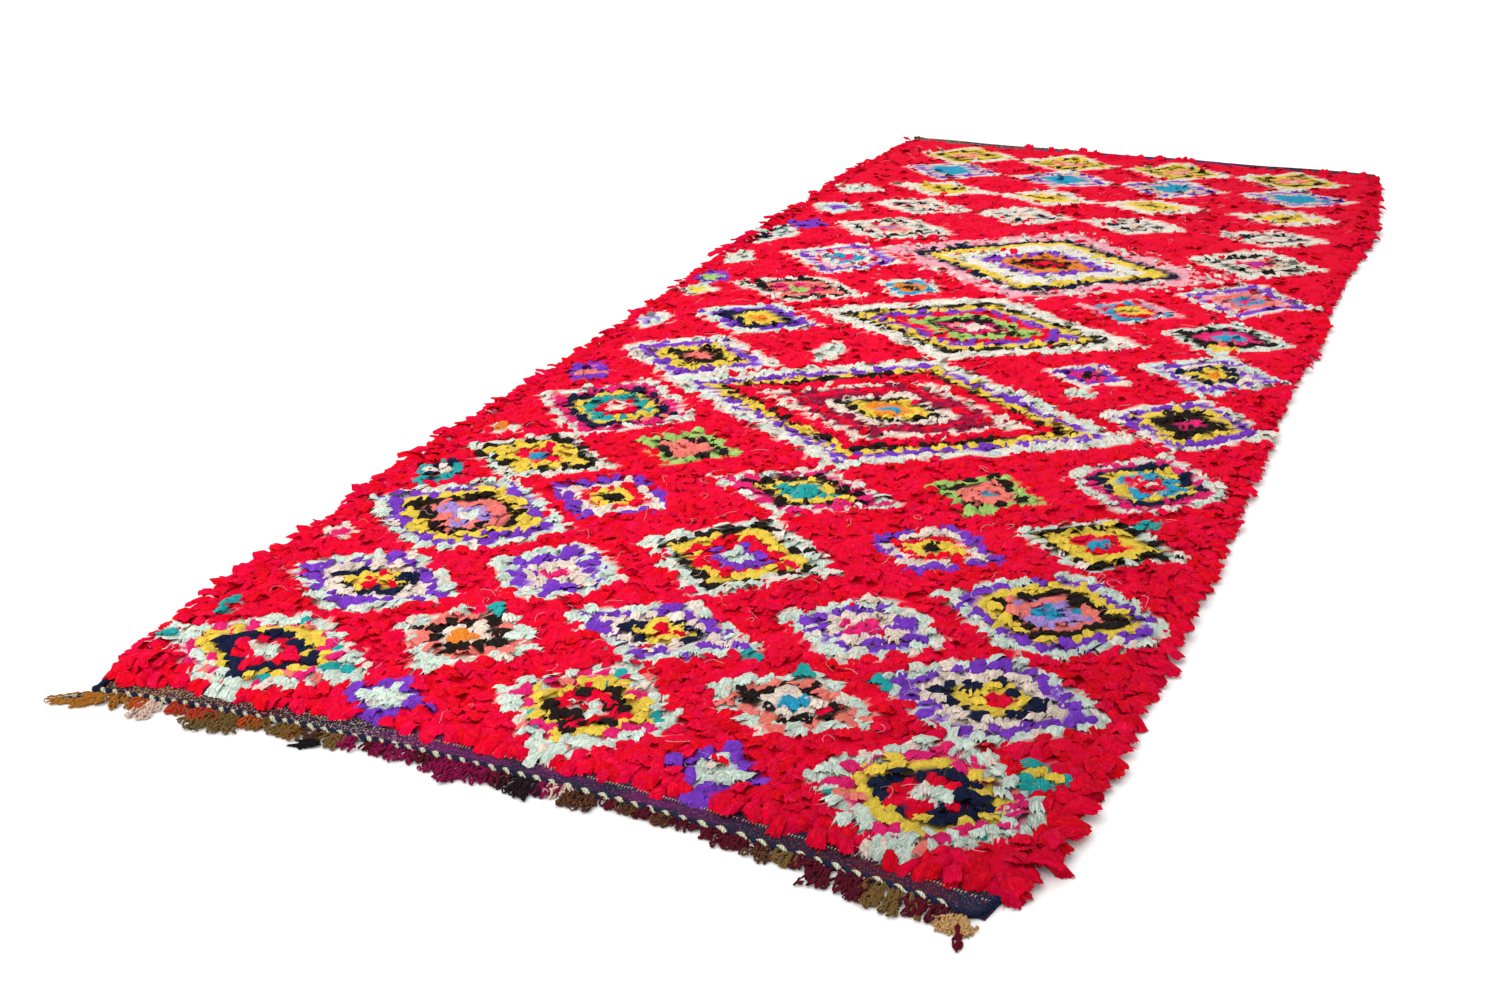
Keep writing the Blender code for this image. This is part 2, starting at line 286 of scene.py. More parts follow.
class RUG_PG_sizes(bpy.types.PropertyGroup):
    """Sizes of the knots and yarns."""

    rows: IntProperty(name="Rows", description="Rows of knots from end to end", default=164, min=2)
    columns: IntProperty(name="Knots in a row", description="Knots across the rug", default=62, min=2)
    rag_long: length("Rag length", "From the knot to the torn end", 34 * MM, 0.001)
    rag_wide: length("Rag width", "Width of a torn strip", 19 * MM, 0.001)
    pleat: length("Pleat", "Depth of a strip's gathers", 2.0 * MM, 0)
    tooth: length("Torn edge", "Length of the torn edge's points", 3.2 * MM, 0)
    stray_threads: IntProperty(name="Stray threads", description="Loose threads on the pile", default=460)
    clump: length("Fringe clump", "Distance between two clumps of the fringe", 23 * MM, 0.001)
    clump_strands: IntProperty(name="Clump strands", description="Wool ends in a clump", default=13, min=1)
    yarn: length("Yarn radius", "Radius of the fringe's wool", 1.6 * MM, 0.0001)
    seed: IntProperty(name="Seed", description="Chooses the accidents of the handwork", default=7)


# Plan

def blend(low, high, share):
    return low + (high - low) * share


def line_y(line, share):
    """y of a line across the rug at an across share."""
    return blend(line["left"], line["right"], share) + 4 * line["bow"] * share * (1 - share)


def side_x(share, y):
    """x at an across share, between the two bowed sides."""
    along = (2 * y - BOW_FROM - BOW_TO) / (BOW_TO - BOW_FROM)
    bow = 1 - np.minimum(np.abs(along), 1) ** BOW_SHARPNESS
    return blend(-LEFT_BOW * bow, END_WIDTH + RIGHT_BOW * bow, share)


def lumps(x, y):
    """Height of the pile's lumps over its mean, as in the solid under it."""
    spots = zip(np.ravel(x) / PILE_LUMP_PITCH, np.ravel(y) / PILE_LUMP_PITCH)
    return PILE_LUMP * np.array([noise.noise(Vector((a, b, 0))) for a, b in spots]).reshape(np.shape(x))


def charted_rags(x, y, draw, mixed):
    """Letter of the rag whose tip lies at each plan place. Neighbouring rings mix over this share of a
    ring."""
    sight_x = (x - CHART_LEAN[0]) / CHART_SCALE
    sight_y = (y - CHART_LEAN[1]) / CHART_SCALE
    near = np.interp(y, (0.8, 2.2), (1, 0.75))
    letters = np.full(np.shape(x), FIELD)
    rows = [
        Motif(x, row["y"], row["wide"], row["long"], row["rings"])
        for row in FAR_ROWS for x in row["across"]
    ]
    for motif in (*CHART, *rows):
        wide = np.abs(sight_x - motif.x) / (motif.wide / 2)
        long = np.abs(sight_y - motif.y) / (motif.long / 2)
        out = (wide**motif.blunt + long**motif.blunt) ** (1 / motif.blunt)
        depth = (1 - out) * len(motif.rings) + draw.normal(0, mixed, np.shape(x)) * near
        ring = np.clip(depth.astype(int), 0, len(motif.rings) - 1)
        inside = out < 1
        letters[inside] = np.array(list(motif.rings))[ring[inside]]
    return letters


# Meshes

def make_piece(name, points, faces, material, marks, slot):
    """A piece from points in plan coordinates, lists of equal-sided faces, and marks: values kept on the
    points."""
    mesh = bpy.data.meshes.new(name)
    mesh.vertices.add(len(points))
    mesh.vertices.foreach_set("co", (points + SHIFT).astype(np.float32).ravel())
    corners = np.concatenate([group.ravel() for group in faces]).astype(np.int32)
    counts = np.concatenate([np.full(len(group), group.shape[1]) for group in faces])
    mesh.loops.add(len(corners))
    mesh.loops.foreach_set("vertex_index", corners)
    mesh.polygons.add(len(counts))
    mesh.polygons.foreach_set("loop_start", np.concatenate([[0], np.cumsum(counts)[:-1]]).astype(np.int32))
    for label, values in marks.items():
        attribute = mesh.attributes.new(label, "FLOAT_VECTOR", "POINT")
        attribute.data.foreach_set("vector", values.astype(np.float32).ravel())
    mesh.update(calc_edges=True)
    mesh.validate()
    mesh.shade_smooth()
    mesh.materials.append(material)
    piece = bpy.data.objects.new(name, mesh)
    bpy.context.scene.collection.objects.link(piece)
    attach(piece, BODY)
    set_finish(piece, slot)
    return piece


def grid_faces(count, rows, columns, wrap=False):
    """Quads of count like grids of points, each rows by columns. With wrap, the columns close into a ring."""
    index = np.arange(count * rows * columns).reshape(count, rows, columns)
    if wrap:
        index = np.concatenate([index, index[:, :, :1]], axis=2)
    low, high = index[:, :-1], index[:, 1:]
    return np.stack([low[..., :-1], low[..., 1:], high[..., 1:], high[..., :-1]], -1).reshape(-1, 4)


def unit(vectors):
    return vectors / np.maximum(np.linalg.norm(vectors, axis=-1, keepdims=True), 1e-9)


def tubes(paths, radii, sides):
    """Points, faces and cloth coordinates of capped tubes along paths, an array of strands by points by 3."""
    count, steps = paths.shape[:2]
    heading = unit(np.gradient(paths, axis=1))
    side = unit(np.cross(heading, (0.03, 0.05, 1.0)))
    over = np.cross(side, heading)
    turn = np.arange(sides) / sides * 2 * math.pi
    ring = side[:, :, None] * np.cos(turn)[:, None] + over[:, :, None] * np.sin(turn)[:, None]
    points = paths[:, :, None] + ring * radii[:, :, None, None]
    walls = grid_faces(count, steps, sides, wrap=True)
    index = np.arange(count * steps * sides).reshape(count, steps, sides)
    caps = np.concatenate([index[:, 0, ::-1], index[:, -1]])
    run = np.cumsum(np.linalg.norm(np.diff(paths, axis=1, prepend=paths[:, :1]), axis=2), axis=1)
    cloth = np.zeros(points.shape)
    cloth[..., 0] = turn / (2 * math.pi)
    cloth[..., 1] = run[:, :, None]
    cloth[..., 2] = np.arange(count)[:, None, None] * 0.37
    return points.reshape(-1, 3), [walls, caps], cloth.reshape(-1, 3)


def yarn_piece(name, paths, radii, sides, material, slot):
    points, faces, cloth = tubes(paths, radii, sides)
    return make_piece(name, points, faces, material, {"cloth": cloth}, slot)


RAG_STEPS = 4
RAG_ACROSS = 5
RAG_WIDTH_PLACES = (0.2, 1.2, 3.0)
RAG_WIDTH_SCALES = (1.14, 0.95, 1.14)
RAG_LOW = 0.6 * MM
RAG_TOP = 36 * MM
# Painted shade: the rags are darkened towards the right side, most at the near right corner, as if the light
# fell from the left; they are also darker towards the far end
SHADE_AND_DIMMING_PLACES = (0.0, 1.1, 1.9, 3.1)
RIGHT_PAINTED_SHADE = (2.7, 1.2, 0.7, 0.9)
FAR_DIMMING = (0.0, 0.0, 0.1, 1.0)
TONE_AND_SHADE_DARKENS = 0.16


def painted_shade_and_far_dimming(x, y):
    """How much darker the rags are at each place: painted shade towards the right side, as if lit from the
    left, and darker towards the far end.
    """
    to_right = np.clip(x / END_WIDTH * 1.7 - 0.7, 0, 1)
    return to_right * np.interp(y, SHADE_AND_DIMMING_PLACES, RIGHT_PAINTED_SHADE) + np.interp(y, SHADE_AND_DIMMING_PLACES, FAR_DIMMING)


def arc(length, lift, droop, along):
    """Forward and upward distance along a strip that leaves its knot at the angle lift and ends at droop."""
    bend = droop - lift
    slope = lift + bend * along
    forward = length / bend * (np.sin(slope) - np.sin(lift))
    rise = -length / bend * (np.cos(slope) - np.cos(lift))
    return forward, rise, slope


def rag_ends(root, angle, length, lift, droop, draw, props, tooth):
    """Torn rag ends: each rises from its knot as a gathered fan, bends over and ends in a torn and frayed
    edge. root is strips by 3, and angle, length, lift, droop and tooth are one value a strip."""
    count = len(root)
    along = np.linspace(0, 1, RAG_STEPS)[None, :, None]
    across = np.linspace(-1, 1, RAG_ACROSS)[None, None, :]

    def each(low, high):
        return draw.uniform(low, high, count)[:, None, None]

    def spread_out(values):
        return values[:, None, None]

    round_off = 1 - each(0.05, 0.30) * across**2 - each(-0.10, 0.10) * across
    forward, rise, slope = arc(spread_out(length) * round_off, spread_out(lift), spread_out(droop), along)
    scale = np.interp(root[:, 1], RAG_WIDTH_PLACES, RAG_WIDTH_SCALES)
    width = props.rag_wide * each(0.75, 1.25) * spread_out(scale)
    fan = each(0.35, 0.6)
    half = width / 2 * (fan + (1 - fan) * along**0.7)
    alternate = np.where(np.arange(RAG_ACROSS) % 2, 1.0, -1.0) * np.sign(each(-1, 1))
    gather = alternate * draw.uniform(-0.25, 1.25, (count, 1, RAG_ACROSS)) * props.pleat
    gather = gather * (0.35 + 0.65 * along) - each(0.3, 2.8) * MM * across**2
    gather = gather + each(-1.5, 1.5) * MM * np.sin(math.pi * (each(1.0, 2.0) * along + each(0, 2)))
    sweep = each(-0.25, 0.25) * along**2 * spread_out(length)
    tilt = each(-0.28, 0.28) * across * half
    heading = np.stack([np.cos(angle), np.sin(angle), np.zeros(count)], -1)
    level = heading[:, None, None, :]
    sideways = np.stack([-heading[:, 1], heading[:, 0], np.zeros(count)], -1)[:, None, None, :]
    upright = np.array([0, 0, 1.0])
    points = (
        root[:, None, None, :]
        + level * (forward - np.sin(slope) * gather)[..., None]
        + sideways * (across * half + sweep)[..., None]
        + upright * (rise + np.cos(slope) * gather + tilt)[..., None]
    )
    points += draw.normal(0, 0.6 * MM, points.shape)
    edge = points[:, -1]
    run_out = unit(points[:, -1] - points[:, -2])
    reach = spread_out(tooth) * draw.uniform(0.15, 1.5, (count, RAG_ACROSS - 1, 1))
    tips = blend(edge[:, :-1], edge[:, 1:], draw.uniform(0.2, 0.8, reach.shape))
    tips += (run_out[:, 1:] + run_out[:, :-1]) / 2 * reach + draw.normal(0, 0.7 * MM, tips.shape)
    cloth = np.zeros(points.shape)
    cloth[..., 0] = across * width / 2
    cloth[..., 1] = along * spread_out(length)
    cloth += draw.uniform(0, 5, (count, 1, 1, 3))
    tip_cloth = (cloth[:, -1, 1:] + cloth[:, -1, :-1]) / 2
    tip_cloth[..., 1] += reach[..., 0]
    tuft = np.zeros(points.shape)
    tuft[..., 0] = each(0, 1)
    tuft[..., 1] = along
    # Random tone of each strip, less the painted shade towards the right side and the darkening towards the
    # far end
    tuft[..., 2] = each(0, 1) - spread_out(painted_shade_and_far_dimming(root[:, 0], root[:, 1]))
    body = count * RAG_STEPS * RAG_ACROSS
    index = np.arange(body).reshape(count, RAG_STEPS, RAG_ACROSS)
    tip_index = body + np.arange(count * (RAG_ACROSS - 1)).reshape(count, RAG_ACROSS - 1)
    teeth = np.stack([index[:, -1, :-1], index[:, -1, 1:], tip_index], -1).reshape(-1, 3)
    fray = frayed_threads(edge, run_out, tooth, draw)
    fray_index = body + tip_index.size + np.arange(fray.size // 3).reshape(-1, 3)
    every_point = np.concatenate([points.reshape(-1, 3), tips.reshape(-1, 3), fray.reshape(-1, 3)])
    marks = {}
    for label, values, at_tips in (("cloth", cloth, tip_cloth), ("tuft", tuft, tuft[:, -1, 1:])):
        at_fray = np.repeat(values[:, -1, :1], fray.size // 3 // count, axis=1)
        marks[label] = np.concatenate([values.reshape(-1, 3), at_tips.reshape(-1, 3), at_fray.reshape(-1, 3)])
    every_point[:, 2] = np.clip(every_point[:, 2], RAG_LOW, RAG_TOP)
    return every_point, [grid_faces(count, RAG_STEPS, RAG_ACROSS), teeth, fray_index], marks


FRAY_A_STRIP = 4
FRAY_WIDE = 0.13


def frayed_threads(edge, run_out, tooth, draw):
    """Thin slivers that stand out of each torn edge: strips by slivers by 3 points by 3."""
    count = len(edge)
    strip = np.arange(count)[:, None]
    column = draw.integers(0, RAG_ACROSS - 1, (count, FRAY_A_STRIP))
    start, end = edge[strip, column], edge[strip, column + 1]
    share = draw.uniform(0.05, 0.8, (count, FRAY_A_STRIP, 1))
    out = run_out[strip, column] + draw.normal(0, 0.4, start.shape)
    reach = tooth[:, None, None] * draw.uniform(0.9, 3.0, share.shape)
    near, far = blend(start, end, share), blend(start, end, share + FRAY_WIDE)
    return np.stack([near, far, near + unit(out) * reach], axis=2)


# Node groups

def new_group(name, inputs):
    """A node group with these inputs, by kind of socket. Colour, roughness and height come out of it."""
    group = bpy.data.node_groups.new(name, "ShaderNodeTree")
    for label, kind in inputs.items():
        group.interface.new_socket(label, in_out="INPUT", socket_type=f"NodeSocket{kind}")
    for label, kind in (("Color", "Color"), ("Roughness", "Float"), ("Height", "Float")):
        group.interface.new_socket(label, in_out="OUTPUT", socket_type=f"NodeSocket{kind}")
    return group, Wiring(group.nodes, group.links)


class Wiring:
    """Adds nodes to a tree, set from keyword values and linked from sockets."""

    def __init__(self, nodes, links):
        self.nodes = nodes
        self.links = links

    def add(self, kind, inputs=None, **settings):
        node = self.nodes.new(kind)
        for key, value in settings.items():
            setattr(node, key, value)
        for key, value in (inputs or {}).items():
            socket = node.inputs[key]
            if isinstance(value, bpy.types.NodeSocket):
                self.links.new(value, socket)
            else:
                socket.default_value = value
        return node

    def maths(self, operation, first, second=0.0, clamp=False):
        values = {0: first, 1: second}
        return self.add("ShaderNodeMath", values, operation=operation, use_clamp=clamp).outputs[0]

    def plus(self, first, second, clamp=False):
        return self.maths("ADD", first, second, clamp)

    def minus(self, first, second):
        return self.maths("SUBTRACT", first, second)

    def times(self, first, second):
        return self.maths("MULTIPLY", first, second)

    def inverse(self, value):
        return self.minus(1.0, value)

    def ripple(self, place, pitch):
        """Ridges this far apart, from 0 between them to 1 on top."""
        return self.maths("ABSOLUTE", self.maths("SINE", self.times(place, math.pi / pitch)))

    def crease(self, value, centre, reach):
        """1 where the value is at the centre, down to 0 this far to either side."""
        return self.inverse(self.band(self.maths("ABSOLUTE", self.minus(value, centre)), 0.0, reach))

    def mix(self, share, first, second):
        node = self.add("ShaderNodeMix", data_type="RGBA")
        for key, value in ((0, share), (6, first), (7, second)):
            if isinstance(value, bpy.types.NodeSocket):
                self.links.new(value, node.inputs[key])
            else:
                node.inputs[key].default_value = value
        return node.outputs[2]

    def grain(self, place, scale, detail=2.0, stretch=(1, 1, 1), roughness=0.5):
        moved = self.add("ShaderNodeVectorMath", {0: place, 1: stretch}, operation="MULTIPLY").outputs[0]
        settings = {"Vector": moved, "Scale": scale, "Detail": detail, "Roughness": roughness}
        return self.add("ShaderNodeTexNoise", settings).outputs["Fac"]

    def band(self, value, low, high):
        """0 below low and 1 above high, with a smooth step between them."""
        settings = {"Value": value, "From Min": low, "From Max": high}
        return self.add("ShaderNodeMapRange", settings, interpolation_type="SMOOTHSTEP").outputs[0]


# Pale pink of the painted sheen on the crumple crests
PAINTED_SHEEN = (1.0, 0.95, 0.9, 1)
# Near black of the painted shade in the grooves between wool plies
PLY_GROOVE_SHADE = (0.01, 0.008, 0.01, 1)
STRAND_TURN = 12.566
CLOTH_ROUGH = 0.84


def rag_group():
    """Torn cotton and jersey: dye that differs from strip to strip, crumpled, gathered and woven, with
    painted shade in the folds, gathers, crumple valleys and towards the knots, and a painted sheen on the
    crumple crests.
    """
    inputs = {"Dye": "Color", "Deep": "Color", "Cloth": "Vector", "Tuft": "Vector"}
    group, wire = new_group("rag_cloth", inputs)
    given = wire.add("NodeGroupInput").outputs
    tuft = wire.add("ShaderNodeSeparateXYZ", {0: given["Tuft"]}).outputs
    crumple = wire.grain(given["Cloth"], 150.0, 2.0, (1, 0.75, 1), 0.55)
    gather = wire.grain(given["Cloth"], 330.0, 1.0, (1, 0.16, 1))
    weft = wire.grain(given["Cloth"], 1500.0, 0.0, (1, 0.2, 1))
    warp = wire.grain(given["Cloth"], 1500.0, 0.0, (0.2, 1, 1))
    blotch = wire.grain(given["Cloth"], 60.0)
    # Masks for painted shade: towards the knot, in the crumple valleys, along the folds and along the gather
    # lines
    root = wire.inverse(wire.band(tuft[1], 0.1, 0.75))
    valley = wire.inverse(wire.band(crumple, 0.34, 0.52))
    fold = wire.crease(crumple, 0.5, 0.03)
    line = wire.crease(gather, 0.48, 0.065)
    # Painted shade: these masks mix the dye towards its darker copy; the last mask, on tuft[0], is random
    # darker tone of some strips
    shade = wire.times(root, 0.05)
    for mask, weight in ((valley, 0.12), (fold, 0.34), (line, 0.5), (wire.band(tuft[0], 0.6, 1.0), 0.12)):
        shade = wire.plus(shade, wire.times(mask, weight), clamp=True)
    dyed = wire.mix(shade, given["Dye"], given["Deep"])
    # Painted sheen: the crumple crests are lightened towards a pale pink
    dyed = wire.mix(wire.times(wire.band(crumple, 0.4, 0.9), 0.012), dyed, PAINTED_SHEEN)
    # Random tone of each strip, with the painted shade towards the right side and the darkening towards the
    # far end
    value = wire.plus(wire.times(tuft[2], TONE_AND_SHADE_DARKENS), 0.97)
    hue = wire.plus(wire.times(tuft[0], 0.008), 0.496)
    colour = wire.add("ShaderNodeHueSaturation", {"Hue": hue, "Value": value, "Color": dyed}).outputs[0]
    height = wire.minus(crumple, wire.times(fold, 0.35))
    height = wire.minus(height, wire.times(line, 0.35))
    height = wire.plus(height, wire.times(wire.plus(weft, warp), 0.08))
    rough = wire.plus(wire.times(blotch, 0.12), CLOTH_ROUGH)
    wire.add("NodeGroupOutput", {"Color": colour, "Roughness": rough, "Height": height})
    return group


def wool_group():
    """Hand-spun wool: twisted plies, heathered with a second shade, with painted shade darkening the grooves
    between the plies.
    """
    inputs = {"Dye": "Color", "Second": "Color", "Cloth": "Vector", "Ply": "Float"}
    group, wire = new_group("spun_wool", inputs)
    given = wire.add("NodeGroupInput").outputs
    parts = wire.add("ShaderNodeSeparateXYZ", {0: given["Cloth"]}).outputs
    turn = wire.plus(wire.times(parts[0], STRAND_TURN), wire.times(parts[1], given["Ply"]))
    ply = wire.maths("ABSOLUTE", wire.maths("SINE", turn))
    fibre = wire.grain(given["Cloth"], 900.0, 2.0, (0.02, 1, 1))
    heather = wire.grain(given["Cloth"], 260.0, 2.0, (0.05, 1, 1))
    mixed = wire.mix(wire.band(heather, 0.42, 0.66), given["Dye"], given["Second"])
    # Painted shade: the grooves between the plies are darkened towards near black
    groove_shaded = wire.mix(wire.times(wire.inverse(ply), 0.55), mixed, PLY_GROOVE_SHADE)
    height = wire.plus(ply, wire.times(fibre, 0.6))
    rough = wire.plus(wire.times(fibre, 0.12), CLOTH_ROUGH)
    wire.add("NodeGroupOutput", {"Color": groove_shaded, "Roughness": rough, "Height": height})
    return group


GROUPS = {"rag_cloth": rag_group, "spun_wool": wool_group}
RELIEF_STRENGTH = 0.8
CLOTH_SHINE = 0.04
RAG_RELIEF = 1.8 * MM
WOOL_RELIEF = 0.5 * MM


def finish(name, fill):
    """A cloth material: fill(wire) gives colour, roughness and height sockets, and the depth of the
    relief."""
    material = bpy.data.materials.new(name)
    material.use_nodes = True
    tree = material.node_tree
    shader = tree.nodes["Principled BSDF"]
    wire = Wiring(tree.nodes, tree.links)
    colour, rough, height, depth = fill(wire)
    bump = wire.add("ShaderNodeBump", {"Height": height, "Strength": RELIEF_STRENGTH, "Distance": depth})
    tree.links.new(colour, shader.inputs["Base Color"])
    tree.links.new(rough, shader.inputs["Roughness"])
    tree.links.new(bump.outputs[0], shader.inputs["Normal"])
    shader.inputs["Specular IOR Level"].default_value = CLOTH_SHINE
    return material


def mark(wire, label):
    return wire.add("ShaderNodeAttribute", attribute_name=label).outputs["Vector"]


def shaded(colour, share):
    return (*(channel * share for channel in colour), 1)


def grouped_finish(name, kind, values, marks, depth):
    """Finish through a shared group, whose inputs are set from values and from marks on the points."""

    def fill(wire):
        tree = bpy.data.node_groups.get(kind) or GROUPS[kind]()
        node = wire.add("ShaderNodeGroup", values, node_tree=tree)
        for label in marks:
            wire.links.new(mark(wire, label), node.inputs[label.capitalize()])
        return (*node.outputs, depth)

    return finish(name, fill)


def rag_finish(name, colour, painted_shade_share):
    """Finish of one colour of rag, with a darker copy of the colour as painted shade for the folds."""
    values = {"Dye": (*colour, 1), "Deep": shaded(colour, painted_shade_share)}
    return grouped_finish(name, "rag_cloth", values, ("cloth", "tuft"), RAG_RELIEF)


def wool_finish(name, colour, second, ply):
    """Finish of a wool yarn of two shades, with this many radians of twist a metre."""
    values = {"Dye": (*colour, 1), "Second": second, "Ply": ply}
    return grouped_finish(name, "spun_wool", values, ("cloth",), WOOL_RELIEF)


# Ground

RIB = 2.6 * MM
KNOT_ROW = 19 * MM
KNOT = 13 * MM
NEAR_KNOTS = float(SHIFT[1]) + 30 * MM
FAR_KNOTS = float(SHIFT[1]) + 3.110
GROUND_COLUMNS = 120
NEAR_BAND_ROWS = 8
MIDDLE_ROWS = 40
FAR_BAND_ROWS = 12
FAR_CURL = 4 * MM
FAR_CURL_WAVES = 23
BAND_COLOURS = (
    (0.00, "brown"), (0.08, "brown"), (0.13, "dusk"), (0.20, "maroon"), (0.24, "dusk"), (0.31, "navy"),
    (0.35, "plum"), (0.47, "plum"), (0.50, "navy"), (0.54, "plum"), (0.60, "navy"), (0.66, "plum"),
    (0.74, "navy"), (0.84, "dusk"), (0.90, "maroon"), (0.97, "navy"),
)
KNOT_COLOURS = ((0.0, "navy"), (0.66, "mint"), (0.36, "tan"), (0.41, "scarlet"))
BAND_DARK = (0.010, 0.008, 0.018, 1)
WARP_PITCH = 2.2 * MM
KNOTS_FADE = 4 * MM
GROUND_RELIEF = 0.7 * MM


def ground_finish(props):
    """Weft-faced wool weave: stretches of colour across the near end, flecked and ribbed, and rows of knots
    below."""

    def colour(name):
        return (*getattr(props, name), 1)

    def fill(wire):
        place = wire.add("ShaderNodeTexCoord").outputs["Object"]
        wobble = wire.grain(place, 14.0, 2.0, (1, 3, 1))
        axes = wire.add("ShaderNodeSeparateXYZ", {0: place}).outputs
        across = wire.plus(axes[0], wire.times(wire.minus(wobble, 0.5), 0.16))
        share = wire.maths("DIVIDE", wire.minus(across, float(SHIFT[0])), END_WIDTH)
        fleck = wire.grain(place, 560.0, 1.0, (0.8, 0.8, 1))
        slub = wire.grain(place, 620.0, 0.0, (1.1, 0.4, 1))
        streak = wire.grain(place, 150.0, 2.0, (0.2, 2.4, 1))
        ramp = wire.add("ShaderNodeValToRGB", {"Fac": share})
        elements = ramp.color_ramp.elements
        for position, _ in BAND_COLOURS[2:]:
            elements.new(position)
        for element, (position, name) in zip(elements, BAND_COLOURS):
            element.position = position
            element.color = colour(name)
        woven = wire.mix(wire.band(streak, 0.50, 0.62), ramp.outputs[0], colour("navy"))
        woven = wire.mix(wire.band(fleck, 0.56, 0.64), woven, colour("maroon"))
        woven = wire.mix(0.44, woven, BAND_DARK)
        pale = wire.plus(wire.times(wire.inverse(wire.band(share, 0.30, 0.42)), 0.5), 0.08)
        woven = wire.mix(wire.times(wire.band(slub, 0.60, 0.68), pale), woven, colour("warp"))
        ribs = wire.times(wire.ripple(axes[1], RIB), 0.5)
        height = wire.plus(ribs, wire.times(wire.ripple(axes[0], WARP_PITCH), 0.7))
        height = wire.plus(height, wire.times(slub, 0.7))
        row = wire.band(wire.maths("SINE", wire.times(axes[1], 2 * math.pi / KNOT_ROW)), -0.35, 0.25)
        gap = wire.band(wire.ripple(axes[0], KNOT), 0.1, 0.4)
        below = wire.inverse(wire.band(axes[2], 1.2 * MM, 1.8 * MM))
        past_near, past_far = (
            wire.band(axes[1], knots - KNOTS_FADE, knots + KNOTS_FADE) for knots in (NEAR_KNOTS, FAR_KNOTS)
        )
        inner = wire.times(past_near, wire.inverse(past_far))
        knots = wire.times(wire.times(row, gap), wire.times(below, inner))
        dyes = wire.add("ShaderNodeValToRGB", {"Fac": wire.grain(place, 13.0, 1.0)})
        dyes.color_ramp.interpolation = "CONSTANT"
        first, last = dyes.color_ramp.elements[0], dyes.color_ramp.elements[1]
        added = [dyes.color_ramp.elements.new(position) for position, _ in KNOT_COLOURS[2:]]
        for element, (position, name) in zip((first, last, *added), KNOT_COLOURS):
            element.position = position
            element.color = colour(name)
        woven = wire.mix(knots, woven, dyes.outputs[0])
        height = wire.plus(height, wire.times(knots, 2.5))
        rough = wire.plus(wire.times(fleck, 0.1), CLOTH_ROUGH)
        return woven, rough, height, GROUND_RELIEF

    return finish("ground_wool", fill)


def ground_points(draw):
    """Top of the ground as rows of points, near rim to far rim."""
    u = np.linspace(0, 1, GROUND_COLUMNS + 1)
    near_rim = line_y(NEAR_RIM, u) + BORDER_WIDTH / 2
    near_pile = line_y(NEAR_PILE, u) + 8 * MM
    far_pile = line_y(FAR_PILE, u) - 8 * MM
    y = np.concatenate([
        blend(near_rim, near_pile, np.linspace(0, 1, NEAR_BAND_ROWS + 1)[:, None]),
        blend(near_pile, far_pile, np.linspace(0, 1, MIDDLE_ROWS + 1)[1:-1, None]),
        blend(far_pile, line_y(FAR_RIM, u) + 6 * MM, np.linspace(0, 1, FAR_BAND_ROWS + 1)[:, None]),
    ])
    x = side_x(u[None, :], y)
    z = GROUND_TOP + draw.uniform(-0.25, 0.25, x.shape) * MM
    curl = np.linspace(0, 1, FAR_BAND_ROWS + 1)[:, None] ** 2
    z[-FAR_BAND_ROWS - 1:] += FAR_CURL * curl * (0.75 + 0.25 * np.sin(u * FAR_CURL_WAVES))
    return x, y, z


class RUG_OT_ground(bpy.types.Operator):
    """Weave the ground, whose ribbed bands show at the two ends."""

    bl_idname = "rug.ground"
    bl_label = "Ground"

    def execute(self, context):
        x, y, z = ground_points(np.random.default_rng(context.scene.rug_sizes.seed))
        rows, columns = x.shape
        top = np.stack([x, y, z], -1).reshape(-1, 3)
        under = top.copy()
        under[:, 2] = GROUND_UNDER
        index = np.arange(rows * columns).reshape(rows, columns)
        rim = np.concatenate([index[0, :-1], index[:-1, -1], index[-1, :0:-1], index[:0:-1, 0]])
        below = rows * columns
        follow = np.roll(rim, -1)
        walls = np.stack([rim, rim + below, follow + below, follow], -1)
        above = grid_faces(1, rows, columns)
        points = np.concatenate([top, under])
        material = ground_finish(context.scene.rug_wools)
        ground = make_piece(
            "ground_cloth", points, [above, above[:, ::-1] + below, walls], material, {}, "ground_wool"
        )
        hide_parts("ground_weave")
        return {"FINISHED"}


# Pile

NEAR_HEADING = -math.pi / 2
STANDING_NEAR = 0.06
STANDING_FAR = 0.10
FAR_ROWS_OVER = 3
FAR_TUFT_PLACES = (0.0, 0.25, 0.38, 0.46, 0.52, 0.6, 0.85, 0.93, 1.0)
FAR_TUFT_SHARES = (0.0, 0.05, 0.3, 0.8, 0.3, 0.15, 0.15, 0.5, 0.8)
NEAR_ROOTS = 11 * MM
FAR_ROOTS = 8 * MM
NEAR_ROWS_HANGING = 1.5
ROOT_HIGH = 6 * MM
RED_PIECES = 3
PALE = "MCEW"
UNDYED_PLACES = (0.3, 1.0)
UNDYED = (0.02, 0.4)
BROKEN_RAGS = "MCWZ"
BROKEN_PLACES = (1.8, 2.5, 3.1)
BROKEN = (0.02, 0.14, 0.2)
